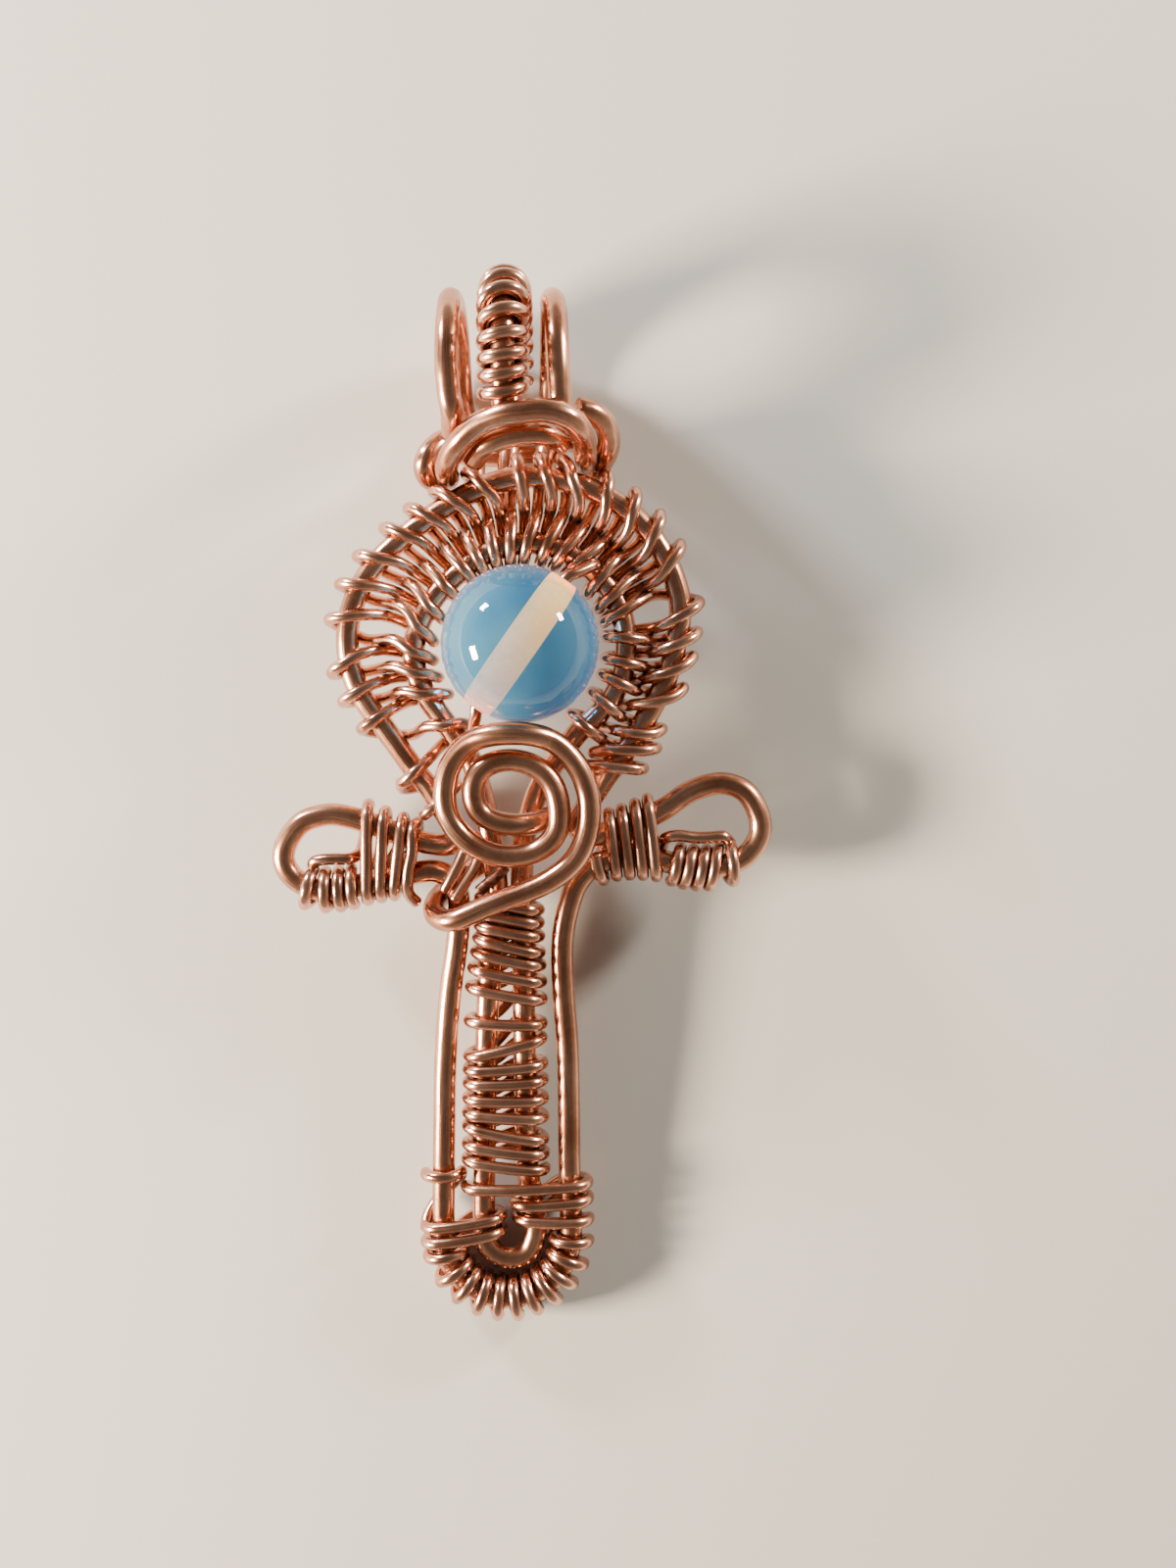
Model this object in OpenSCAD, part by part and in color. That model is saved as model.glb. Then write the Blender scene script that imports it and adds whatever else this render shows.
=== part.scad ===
// Ankh pendant of wrapped copper wire round an opalite bead, lying face up.
// Every wire is drawn in body millimetres: x right, y towards the bail, z towards
// the viewer, with z = 0 at the middle of the two flat frame wires. The whole is
// then tipped so that the back of the bail and the foot both rest at z = 0.

/* [Wire and bead] */
// diameter of the frame wire, mm
frame_wire_d = 1.16; // [1.0:0.02:1.16]
// diameter of the wrapping wire, mm
wrap_wire_d = 0.58; // [0.5:0.02:0.58]
// diameter of the glass bead, mm
bead_d = 7.8; // [7.0:0.1:7.8]
// diameter of the hole drilled through the bead, mm
bead_hole_d = 1.2; // [0.8:0.1:1.4]

/* [Show] */
// piece to draw

/* [Hidden] */

// tip about the x axis, and the shift that puts the box on the origin
tip_angle = 4.6;
shift_x = 0.072;
shift_y = 0.617;
lift = 3.362;

frame_r = frame_wire_d / 2;
wrap_r = wrap_wire_d / 2;
// from the middle of a frame wire to the middle of the wire wrapped on it
lap = 1.02;

frame_sides = 7;
bail_sides = 6;
wrap_sides = 5;
// longest gap between rings along a frame wire
frame_step = 1.4;
bent_step = 1.0;
// steps in a quarter turn of wrapping wire
quarter = 2;

bead_centre = [-0.07, 7.65, 2.0];
bead_hole_angle = 55;

// The halo: angle about the bead, radius of the outer frame wire, radius of the inner one
halo = [
  [-60, 8.02, 5.32],
  [-45, 7.48, 5.22],
  [-30, 7.29, 5.29],
  [-15, 7.47, 5.29],
  [0, 7.77, 5.25],
  [15, 8.25, 5.26],
  [30, 8.40, 5.21],
  [45, 8.51, 5.11],
  [60, 8.46, 5.14],
  [75, 8.41, 5.14],
  [90, 8.31, 5.04],
  [105, 8.01, 4.92],
  [120, 7.79, 4.79],
  [135, 7.88, 4.78],
  [150, 8.28, 4.93],
  [165, 8.67, 5.16],
  [180, 8.77, 5.42],
  [195, 8.57, 5.51],
  [210, 8.14, 5.48],
  [225, 8.22, 5.51],
  [240, 8.75, 5.99]
];

// Outer frame wire from the foot up the left leg, round the left arm to the halo: x, y
left_side = [
  [-4.2, -21.9], [-4.17, -19.5], [-4.12, -17], [-4.07, -14.5], [-3.97, -12.5],
  [-3.85, -11], [-3.7, -9.6], [-3.48, -8.2], [-3.34, -7], [-3.3, -6],
  [-3.32, -5.1], [-3.7, -4.25], [-4.5, -3.87], [-5.4, -3.95], [-6.4, -4.2],
  [-7.1, -4.3], [-7.9, -4.45], [-8.8, -4.7], [-9.6, -4.8], [-10.6, -4.8],
  [-11.5, -4.4], [-12.1, -3.7], [-12.2, -2.9], [-11.8, -2.0], [-11.1, -1.3],
  [-9.9, -0.98], [-8.9, -1.1], [-7.9, -1.4], [-7.1, -1.7], [-6.2, -2.03],
  [-5.3, -2.35], [-4.5, -2.5], [-3.75, -2.5], [-3.4, -1.95], [-3.75, -1.3]
];
// and from the halo round the right arm down the right leg: x, y
right_side = [
  [2.95, -0.95], [2.7, -1.5], [3.15, -2.1], [3.8, -2.02], [4.4, -1.82],
  [5.1, -1.6], [5.8, -1.33], [6.4, -1.1], [7.3, -0.6], [8.3, 0.1],
  [9.3, 0.5], [10.2, 0.6], [11.1, 0.3], [11.7, -0.4], [12.05, -1.4],
  [11.9, -2.3], [11.3, -3.1], [10.5, -3.5], [9.6, -3.68], [8.9, -3.7],
  [8.1, -3.6], [7.3, -3.4], [6.4, -3.2], [5.3, -3.15], [4.4, -3.25],
  [3.5, -3.65], [2.8, -4.4], [2.4, -5.3], [2.05, -6.8], [1.95, -8.3],
  [2.05, -10.6], [2.2, -12.5], [2.27, -14.5], [2.3, -17], [2.33, -19.5],
  [2.4, -21.7]
];
// Middle and radius of the outer foot
foot_centre = [-0.9, -22.9, 0];
foot_r = 3.3;

// Inner frame wire from its own foot up to the halo, then down on the right: x, y
inner_left = [
  [-2.1, -22.3], [-2.1, -20.8], [-2.05, -18.7], [-1.98, -14.6], [-1.9, -11.6],
  [-1.78, -9.6], [-1.55, -8.2], [-1.38, -6.8], [-1.35, -5], [-1.45, -3.6],
  [-1.7, -2], [-1.9, -0.8], [-2.3, 0.75], [-2.65, 1.8]
];
inner_right = [
  [2.1, 2.3], [1.2, 1.1], [0.5, -0.4], [0.05, -2.2], [-0.08, -4],
  [-0.12, -5.4], [-0.1, -7], [0, -9.6], [0, -11.6], [0.05, -14.6],
  [0.12, -18.7], [0.32, -20.5], [0.6, -22.2]
];
inner_foot = [
  [0.45, -23.2], [0.05, -23.85], [-0.7, -24.1], [-1.55, -23.82], [-2.03, -23.2]
];

// The scroll, from the end tucked behind the hub to the inner end: x, y, z
scroll = [
  [-1.5, -3.3, -1.3], [-2.7, -4.0, -1.32], [-3.9, -4.9, -1.25], [-4.5, -5.5, -0.3],
  [-4.45, -5.95, 0.8], [-3.9, -6.15, 1.6], [-3.3, -6.05, 2.0], [-2.6, -5.75, 2.1],
  [-1.6, -5.3, 2.1], [-0.6, -4.93, 2.1], [0.4, -4.55, 2.15], [1.35, -4.08, 2.2],
  [2.25, -3.42, 2.2], [2.88, -2.6, 2.2], [3.25, -1.6, 2.2], [3.36, -0.62, 2.2],
  [3.26, 0.38, 2.2], [2.9, 1.38, 2.3], [2.27, 2.26, 2.4], [1.5, 2.9, 2.6],
  [0.6, 3.22, 3.0], [-0.5, 3.3, 3.15], [-1.53, 3.2, 2.95], [-2.4, 2.9, 2.55],
  [-3.1, 2.3, 2.3], [-3.6, 1.45, 2.2], [-3.8, 0.5, 2.2], [-3.75, -0.45, 2.2],
  [-3.4, -1.3, 2.2], [-2.8, -2.0, 2.2], [-2.05, -2.5, 2.2], [-1.2, -2.8, 2.2],
  [-0.25, -2.85, 2.2], [0.6, -2.65, 2.2], [1.35, -2.15, 2.3], [1.8, -1.4, 2.35],
  [1.85, -0.45, 2.35], [1.64, 0.5, 2.3], [1.16, 1.25, 2.3], [0.38, 1.77, 2.3],
  [-0.58, 1.95, 2.3], [-1.45, 1.8, 2.3], [-2.1, 1.33, 2.3], [-2.38, 0.6, 2.3],
  [-2.3, -0.2, 2.3], [-1.9, -0.8, 2.25], [-1.2, -1.17, 2.2], [-0.4, -1.3, 2.05],
  [0.35, -1.28, 1.75], [0.95, -1.15, 1.45], [1.5, -1.0, 1.15]
];

// The neck wrap, from the end under the front arch, round the back, the left ear,
// the front arch and the right ear: x, y, z
neck = [
  [-2.35, 16.6, 1.5], [-1.95, 17.05, 2.1], [-1.45, 17.33, 2.5], [-0.65, 17.61, 2.7],
  [0.19, 17.75, 2.75], [0.95, 17.77, 2.65], [1.55, 17.65, 2.25], [1.98, 17.62, 1.5],
  [2.25, 17.75, 0.5], [2.5, 17.8, -0.8], [2.55, 17.65, -2.4], [1.95, 17.5, -3.6],
  [0.7, 17.45, -4.0], [-1.3, 17.45, -4.0], [-2.8, 17.5, -3.95], [-3.85, 17.65, -3.3],
  [-4.0, 17.85, -2.2], [-3.98, 17.9, -1.1], [-4.2, 17.69, -0.5], [-4.55, 17.3, -0.15],
  [-4.8, 16.85, 0], [-4.9, 16.45, -0.2], [-4.8, 16.08, -0.6], [-4.53, 15.87, -1.08],
  [-4.18, 15.87, -1.3], [-3.85, 15.92, -0.8], [-3.7, 16.0, 0.3], [-3.7, 16.12, 1.2],
  [-3.6, 16.4, 1.9], [-3.3, 16.88, 2.5], [-2.76, 17.48, 3.15], [-1.84, 18.12, 3.7],
  [-0.64, 18.5, 4.22], [0.25, 18.6, 4.35], [0.95, 18.66, 4.4], [1.7, 18.58, 4.3],
  [2.42, 18.32, 4.0], [2.92, 17.88, 3.35], [3.12, 17.36, 2.4], [3.15, 17.0, 1.35],
  [3.17, 16.82, 0.3], [3.17, 16.66, -0.6], [3.4, 16.42, -1.15], [3.72, 16.52, -1.2],
  [4.03, 16.88, -0.9], [4.27, 17.35, -0.3], [4.3, 18.0, 0.2], [4.03, 18.6, 0.8],
  [3.45, 19.0, 1.25], [2.8, 19.12, 1.5]
];

// The bail in side view: two plain strands and the middle one that carries the coil.
// Front end, arc over the top, back end. Plain strands: x on the left, x on the right, y, z
bail_front = [
  [-3.26, 1.96, 18.9, 2.95],
  [-3.36, 1.94, 19.4, 3.15],
  [-3.43, 1.92, 20.0, 3.2]
];
// Where the left strand ends, behind the front arch
bail_left_end = [-3.3, 17.8, 1.75];
bail_back = [
  [-3.25, 1.28, 20.0, -4.15],
  [-3.0, 1.25, 19.2, -3.65],
  [-2.8, 1.2, 18.3, -2.9],
  [-2.6, 1.12, 17.3, -2.3],
  [-2.53, 1.08, 16.3, -2.05],
  [-2.53, 1.08, 15.4, -2.0],
  [-2.53, 1.08, 14.9, -2.0]
];
// Arc of the plain strands: middle y and z, radius, then angle and x of each strand
bail_centre = [21.0, -0.5];
bail_r = 3.72;
bail_left_x = [[0, -3.5], [90, -3.5], [180, -3.35]];
bail_right_x = [[0, 1.86], [45, 1.7], [90, 1.45], [180, 1.3]];
// Middle strand: x, then y and z from the front end over the top to the back end
core_x = -0.79;
core_line = [
  [19.0, 3.05], [19.6, 3.31], [20.6, 3.58], [21.6, 3.7], [22.5, 3.63], [23.3, 3.36],
  [23.98, 2.86], [24.48, 2.2], [24.8, 1.4], [24.95, 0.5], [24.92, -0.5], [24.63, -1.5],
  [24.1, -2.4], [23.4, -3.08], [22.5, -3.58], [21.5, -3.83], [20.6, -3.82], [19.9, -3.68],
  [19.2, -3.38], [18.3, -2.75], [17.3, -2.25], [16.2, -2.05], [14.9, -2.02]
];
// Coil on the middle strand, of a thicker wire: number of the turn, length along the strand
coil_wire_r = 0.31;
coil_lap = 0.97;
coil_turns = [
  [0, 0.45], [1, 1.24], [2, 2.0], [3, 2.79], [4, 3.67], [5, 4.66], [6, 5.65], [7, 6.6],
  [8, 7.46], [9, 8.28], [16, 14.4]
];

// Figure-eight weave of the halo, one row to a lap. Angle of the outer tip, angle
// where it drops into the gap, angle of the tip beside the bead, angle where the
// wire drops back into the gap
weave = [
  [229, 231, 236, 220],
  [208, 206.6, 214.5, 201.4],
  [198, 195.1, 201.8, 190],
  [189, 183.4, 190.5, 178.3],
  [173, 169.5, 178.5, 163.6],
  [162, 158.4, 163, 152.5],
  [152, 146.5, 144.5, 140.5],
  [140, 134, 126.1, 128.2],
  [130, 122.5, 116.5, 116.8],
  [120, 111.1, 107, 105.4],
  [108, 99.9, 97.7, 94.4],
  [91.5, 88.9, 88.5, 83.5],
  [84.5, 78.2, 77, 72.8],
  [77.2, 67.5, 67.5, 62.2],
  [63, 56.9, 57.5, 51.6],
  [53, 46.3, 37, 41],
  [43, 35.7, 24.5, 30.2],
  [32, 25.1, 14.8, 19.7],
  [13.3, 7.1, 5.2, 1.7],
  [4, -3.7, -9.5, -10.6],
  [-4, -16.2, -20.5, -22.3],
  [-15, -29.8, -34.3, -36.2],
  [-31, -42.9, -55, -49.5]
];
// Turns of the same wire round the outer frame wire alone. At the start: x, y, z.
// At the end: angle about the bead, radius, z
weave_start = [
  [-4.98, -0.95, 0.7], [-4.75, -0.75, 0.95], [-4.3, -0.4, 1.06], [-3.75, 0.1, 0.85],
  [-3.4, 0.5, 0.1], [-3.65, 0.7, -0.75], [-4.5, 0.55, -1.05], [-5.5, 0.35, -1.0],
  [-6.15, 0.3, -0.6]
];
weave_end = [
  [-37.5, 8.6, 0], [-39.5, 8.35, 0.72], [-44, 7.65, 1.04], [-50, 6.95, 0.85], [-56.5, 6.55, 0.1],
  [-55, 6.9, -0.72], [-51, 7.75, -1.04], [-47, 8.55, -0.72], [-45.5, 8.8, 0],
  [-47, 8.6, 0.72], [-51, 7.95, 1.04], [-57, 7.3, 0.9], [-63, 6.85, 0.1],
  [-61.5, 7.1, -0.72], [-58, 7.9, -1.04]
];

// Bands on the arms, one row to a turn: x and y on the upper or lower first wire, then
// x and y on the second one
left_band = [
  [-6.45, -4.2, -6.2, -2.0],
  [-7.17, -4.3, -7.03, -1.7],
  [-7.9, -4.45, -7.85, -1.4]
];
// Coils at the ends of the arms: x and y where a turn starts over the front, x and y
// where it ends, and the slant of the turn
left_coil = [
  [-10.92, -4.78, -11.0, -4.75, -0.2],
  [-10.1, -4.85, -10.05, -4.85, -0.03],
  [-9.4, -4.78, -9.3, -4.78, 0],
  [-8.75, -4.7, -8.6, -4.65, 0]
];
right_band = [
  [4.42, -1.8, 4.62, -3.25],
  [5.1, -1.6, 5.32, -3.15],
  [5.76, -1.35, 6.0, -3.15],
  [6.42, -1.1, 6.68, -3.2]
];
right_coil = [
  [10.75, -3.45, 10.5, -3.5, 0.2],
  [9.92, -3.65, 9.4, -3.68, 0],
  [9.3, -3.7, 8.75, -3.68, 0],
  [8.65, -3.68, 8.1, -3.58, 0],
  [8.0, -3.52, 7.47, -3.45, 0]
];
// Shaft coil: height of each turn on the left wire and on the right one
shaft_turns = [
  [-5.4, -5.65], [-6.08, -6.35], [-6.76, -7.02], [-7.46, -7.8], [-8.14, -8.5], [-9.01, -9.36],
  [-9.96, -10.32], [-11.6, -11.7], [-13.2, -12.7], [-14.05, -13.85], [-14.8, -14.7],
  [-15.6, -15.6], [-16.4, -16.55], [-17.2, -17.6], [-18.1, -18.4], [-18.9, -19.2]
];
// Turns up the right of the foot: x and y on the inner wire, x and y on the outer one
foot_right_turns = [
  [-2.08, -20.25, 2.35, -20.05],
  [0.4, -21.05, 2.38, -20.95],
  [0.55, -21.9, 2.4, -21.95]
];
// Turns on the round of the foot: angle of the front crossing at the inner and outer side
foot_round_turns = [
  [-2, -3], [-18.5, -20.5], [-35, -36], [-51, -52], [-67, -67.5], [-83, -82], [-98.5, -96.5],
  [-114.5, -111.5], [-130.5, -128.5], [-146.5, -145.5], [-162, -166]
];
// Turns up the left of the foot. The last one is round the outer wire alone
foot_left_turns = [
  [-2.1, -22.67, -4.2, -23.0],
  [-2.1, -21.91, -4.19, -22.25],
  [-4.17, -19.5, -4.17, -19.6]
];

// The same wires before their first turn and between band and coil: x, y, z
left_tail = [
  [-5.42, -5.45, 0.3], [-5.77, -5.0, 0.6], [-5.82, -4.4, 0.95], [-5.75, -3.7, 1.04],
  [-5.6, -3.0, 1.05]
];
left_lead = [
  [-8.0, -0.62, -0.8], [-8.15, -1.35, -1.07], [-8.2, -2.2, -0.85], [-8.35, -2.95, -0.15],
  [-8.85, -3.19, 0.52], [-9.5, -3.19, 0.57], [-10.1, -3.22, 0.52], [-10.66, -3.4, 0.3]
];
right_tail = [
  [3.65, -2.9, 1.08]
];
right_lead = [
  [6.85, -4.05, -0.8], [7.0, -3.3, -1.06], [7.08, -2.7, -0.7], [7.25, -2.15, 0.25],
  [7.9, -2.0, 0.55], [8.7, -2.1, 0.5], [9.5, -2.1, 0.45], [10.15, -2.08, 0.38]
];
// Two short strands that bind the hub, and the lower end of the wire through the bead: x, y, z
hub_strands = [
  [[-3.95, -4.75, 0.88], [-3.6, -4.1, 1.02], [-3.1, -3.1, 1.12], [-2.75, -2.3, 1.2],
    [-2.35, -2.0, 1.2], [-2.1, -2.5, 1.2], [-2.35, -3.4, 1.15], [-2.85, -4.25, 1.05],
    [-3.25, -4.9, 1.0], [-3.45, -5.2, 0.95]],
  [[-0.9, -3.5, 1.15], [-1.45, -4.1, 1.12], [-1.9, -4.5, 1.1], [-2.2, -4.75, 1.1]]
];
bead_wire_low = [[-2.6, 2.0, 1.1], [-2.5, 2.9, 1.25], [-2.4, 3.6, 1.55], [-2.28, 4.1, 1.82]];
// Angle about the bead, radius, z, where the bead wire leaves over the inner frame wire
bead_wire_high = [
  [54, 4.15, 1.98], [50.5, 4.6, 1.75], [48, 5.1, 1.4], [46.6, 5.45, 1.08]
];

function unit(v) = v / norm(v);
function mix(a, b, t) = a + (b - a) * t;
function flat(p) = [p.x, p.y, 0];
function polar(a, r) = [cos(a) * r, sin(a) * r, 0];

// Smooth curve through four neighbours of a table
function spline(p, q, r, s, t) =
  (2 * q + (r - p) * t + (2 * p - 5 * q + 4 * r - s) * t * t
    + (3 * q - p - 3 * r + s) * t * t * t) / 2;

function open_curve(pts, step) = let (m = len(pts) - 1) concat(
  [for (i = [0:m - 1]) let (
      p = i == 0 ? 2 * pts[0] - pts[1] : pts[i - 1],
      s = i == m - 1 ? 2 * pts[m] - pts[m - 1] : pts[i + 2],
      n = ceil(norm(pts[i + 1] - pts[i]) / step))
    for (k = [0:n - 1]) spline(p, pts[i], pts[i + 1], s, k / n)],
  [pts[m]]);

function closed_curve(pts, step) = let (m = len(pts))
  [for (i = [0:m - 1]) let (n = ceil(norm(pts[(i + 1) % m] - pts[i]) / step))
    for (k = [0:n - 1])
      spline(pts[(i + m - 1) % m], pts[i], pts[(i + 1) % m], pts[(i + 2) % m], k / n)];

// Value of a column of the halo table at an angle
function halo_radius(a, col) = let (
    f = (a - halo[0][0]) / 15,
    i = max(0, min(len(halo) - 2, floor(f))),
    h = max(0, i - 1),
    j = min(len(halo) - 1, i + 2))
  spline(halo[h][col], halo[i][col], halo[i + 1][col], halo[j][col], f - i);

function halo_point(a, col) = flat(bead_centre) + polar(a, halo_radius(a, col));

// Routes of the two flat frame wires, both closed
function outer_route() = concat(
  [for (p = left_side) flat(p)],
  [for (a = [238:-7.4:-58]) halo_point(a, 1)],
  [for (p = right_side) flat(p)],
  [for (a = [-5:-17:-175]) foot_centre + polar(a, foot_r)]);
function inner_route() = concat(
  [for (p = inner_left) flat(p)],
  [for (a = [238:-9.25:-58]) halo_point(a, 2)],
  [for (p = inner_right) flat(p)],
  [for (p = inner_foot) flat(p)]);
outer_path = closed_curve(outer_route(), frame_step);
inner_path = closed_curve(inner_route(), frame_step);

// Tubes. Direction of a path at a ring, then a normal carried along without twist
function heading(path, i, closed) = let (m = len(path))
  closed ? unit(path[(i + 1) % m] - path[(i + m - 1) % m])
    : unit(path[min(i + 1, m - 1)] - path[max(i - 1, 0)]);
function square_to(n, t) = unit(n - (n * t) * t);
function any_normal(t) = square_to(abs(t.z) > 0.8 ? [1, 0, 0] : [0, 0, 1], t);
function normals(t) =
  [for (i = 0, n = any_normal(t[0]); i < len(t);
    n = i + 1 < len(t) ? square_to(n, t[i + 1]) : n, i = i + 1) n];

function tube_points(path, r, sides, closed) = let (
    t = [for (i = [0:len(path) - 1]) heading(path, i, closed)],
    n = closed ? [for (d = t) square_to([0, 0, 1], d)] : normals(t))
  [for (i = [0:len(path) - 1], k = [0:sides - 1]) let (a = 360 * (k + 0.5) / sides)
    path[i] + r * (cos(a) * n[i] + sin(a) * cross(t[i], n[i]))];

function tube_faces(rings, sides, closed, first) = concat(
  [for (i = [0:rings - (closed ? 1 : 2)], k = [0:sides - 1]) let (
      j = (i + 1) % rings, l = (k + 1) % sides)
    each [
      [first + i * sides + k, first + j * sides + l, first + i * sides + l],
      [first + i * sides + k, first + j * sides + k, first + j * sides + l]]],
  closed ? [] : [
    [for (k = [0:sides - 1]) first + k],
    [for (k = [sides - 1:-1:0]) first + (rings - 1) * sides + k]]);

module tube(path, r, sides, closed = false) {
  polyhedron(tube_points(path, r, sides, closed),
    tube_faces(len(path), sides, closed, 0), convexity = 10);
}

module two_tubes(a, b, r, sides) {
  polyhedron(
    concat(tube_points(a, r, sides, false), tube_points(b, r, sides, false)),
    concat(tube_faces(len(a), sides, false, 0),
      tube_faces(len(b), sides, false, len(a) * sides)),
    convexity = 10);
}

// Wrapping. The point of a wire nearest to p, and the wire's direction there
function nearest(path, p) = let (
    m = len(path),
    hits = [for (i = [0:m - 1]) let (
        a = path[i], b = path[(i + 1) % m], ab = b - a,
        t = max(0, min(1, (flat(p) - a) * ab / (ab * ab))),
        q = a + ab * t)
      [norm(q - flat(p)), i, t]],
    best = min([for (h = hits) h[0]]),
    hit = [for (h = hits) if (h[0] == best) h][0],
    i = hit[1])
  [spline(path[(i + m - 1) % m], path[i], path[(i + 1) % m], path[(i + 2) % m], hit[2]),
    unit(path[(i + 1) % m] - path[i])];

// Half a turn from the near side of a to the far side of b, over the front (1) or back (-1)
function half_turn(a, b, front) = let (
    apart = abs((b[0] - a[0]) * a[1]),
    ends = [for (k = [0:quarter]) 90 * k / quarter])
  apart < 0.9
    ? [for (k = [0:2 * quarter - 1]) let (t = k / (2 * quarter), n = unit(mix(a[1], b[1], t)))
        mix(a[0], b[0], t) + lap * (-cos(180 * t) * n + [0, 0, front * sin(180 * t)])]
    : concat(
      [for (e = ends) a[0] + lap * (-cos(e) * a[1] + [0, 0, front * sin(e)])],
      [for (k = [0:quarter - 1]) let (e = 90 - 90 * k / quarter)
        b[0] + lap * (cos(e) * b[1] + [0, 0, front * sin(e)])]);
function flip(c) = [c[0], -c[1]];

// Many turns: a list of [first crossing, last crossing]
function turns(list) =
  [for (i = [0:len(list) - 1])
    each concat(half_turn(list[i][0], list[i][1], 1),
      i + 1 < len(list)
        ? half_turn(flip(list[i][1]), flip(list[i + 1][0]), -1)
        : [list[i][1][0] + lap * list[i][1][1]])];

// A turn round two wires, and a turn round one wire whose sides face a and b
function pair(path_a, a, path_b, b) = let (
    ca = nearest(path_a, a)[0],
    cb = nearest(path_b, b)[0],
    d = unit(cb - ca))
  [[ca, d], [cb, d]];
function single(path, a, b, side_a, side_b) =
  [[nearest(path, a)[0], side_a], [nearest(path, b)[0], side_b]];
// From the far side of one turn, behind the wires, to the near side of the next
function behind(a, b) = half_turn(flip(a[1]), flip(b[0]), -1);

// Halo weave: over the outer wire, behind the inner wire, over the inner wire, behind the outer
function weave_point(a, col, around) =
  halo_point(a, col) + lap * (cos(around) * polar(a, 1) + [0, 0, sin(around)]);
function drop(a) = acos(min(0.9, 2 * lap / (halo_radius(a, 1) - halo_radius(a, 2))));
function weave_lap(row, next) = let (
    tip = row[0], gap_in = row[1], side = row[2], gap_out = row[3],
    d = drop(gap_in), e = drop(gap_out))
  [
    weave_point(tip, 1, 0),
    weave_point(mix(tip, gap_in, 0.25), 1, 45),
    weave_point(mix(tip, gap_in, 0.55), 1, 90),
    weave_point(mix(tip, gap_in, 0.9), 1, 180 - d),
    weave_point(mix(gap_in, side, 0.1), 2, -d),
    weave_point(mix(gap_in, side, 0.4), 2, -90),
    weave_point(mix(gap_in, side, 0.75), 2, -135),
    weave_point(side, 2, 180),
    weave_point(mix(side, gap_out, 0.25), 2, 135),
    weave_point(mix(side, gap_out, 0.55), 2, 90),
    weave_point(mix(side, gap_out, 0.9), 2, e),
    weave_point(mix(gap_out, next, 0.1), 1, 180 + e),
    weave_point(mix(gap_out, next, 0.45), 1, -90),
    weave_point(mix(gap_out, next, 0.8), 1, -45)
  ];
function weave_route() = concat(
  weave_start,
  [for (i = [0:len(weave) - 1])
    each weave_lap(weave[i], i + 1 < len(weave) ? weave[i + 1][0] : weave_end[0][0])],
  [for (r = weave_end) flat(bead_centre) + polar(r[0], r[1]) + [0, 0, r[2]]]);

// Bail strands, and the coil on the middle one
function arc_point(centre, r, x, a) = [x, centre[0] + r * sin(a), centre[1] + r * cos(a)];
function strand(i, across) = open_curve(concat(
  i == 0 ? [bail_left_end] : [],
  [for (p = bail_front) [p[i], p[2], p[3]]],
  [for (a = [0:22.5:180]) arc_point(bail_centre, bail_r, lookup(a, across), a)],
  [for (p = bail_back) [p[i], p[2], p[3]]]), frame_step);
core_route = [for (p = core_line) [core_x, p[0], p[1]]];
core_path = open_curve(core_route, 0.4);
function lengths(path) =
  [for (i = 0, s = 0; i < len(path);
    s = i + 1 < len(path) ? s + norm(path[i + 1] - path[i]) : s, i = i + 1) s];
core_lengths = lengths(core_path);
function along_core(s) = let (
    passed = [for (k = [0:len(core_lengths) - 1]) if (core_lengths[k] <= s) k],
    i = min(len(core_path) - 2, max(passed)),
    t = (s - core_lengths[i]) / (core_lengths[i + 1] - core_lengths[i]))
  [mix(core_path[i], core_path[i + 1], t),
    unit(mix(heading(core_path, i, false), heading(core_path, i + 1, false), t))];
function coil_route() = let (n = 4 * quarter, last = coil_turns[len(coil_turns) - 1][0])
  [for (k = [2:last * n]) let (
      at = along_core(lookup(k / n, coil_turns)),
      a = 90 + 360 * k / n)
    at[0] + coil_lap * (cos(a) * [1, 0, 0] + sin(a) * cross(at[1], [1, 0, 0]))];

function band(list) =
  [for (r = list) pair(outer_path, [r[0], r[1]], outer_path, [r[2], r[3]])];
function arm_coil(list) =
  [for (r = list) let (side = unit([r[4], -1, 0]))
    single(outer_path, [r[0], r[1]], [r[2], r[3]], side, side)];
left_entry = pair(outer_path, [-5.8, -4.0], outer_path, [-5.52, -2.25]);
right_entry = pair(outer_path, [3.7, -2.05], outer_path, [3.94, -3.4]);
function left_wrap_route() = concat(
  open_curve(left_tail, 0.7),
  [let (c = left_entry[1][0]) c + lap * [0, 0.75, 0.75]],
  behind(left_entry, band(left_band)[0]),
  turns(band(left_band)),
  open_curve(left_lead, 0.7),
  turns(arm_coil(left_coil)));
function right_wrap_route() = concat(
  right_tail,
  [let (c = right_entry[1][0]) c + lap * [0, -0.75, 0.75]],
  behind(right_entry, band(right_band)[0]),
  turns(band(right_band)),
  open_curve(right_lead, 0.7),
  turns(arm_coil(right_coil)));
function shaft_route() =
  turns([for (r = shaft_turns) pair(inner_path, [-1.8, r[0]], inner_path, [0.1, r[1]])]);
function foot_turn(r) = let (a = polar(r[0], 1), b = polar(r[1], 1))
  single(outer_path, foot_centre + foot_r * a, foot_centre + foot_r * b, a, b);
function foot_pair(r) = pair(inner_path, [r[0], r[1]], outer_path, [r[2], r[3]]);
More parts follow.
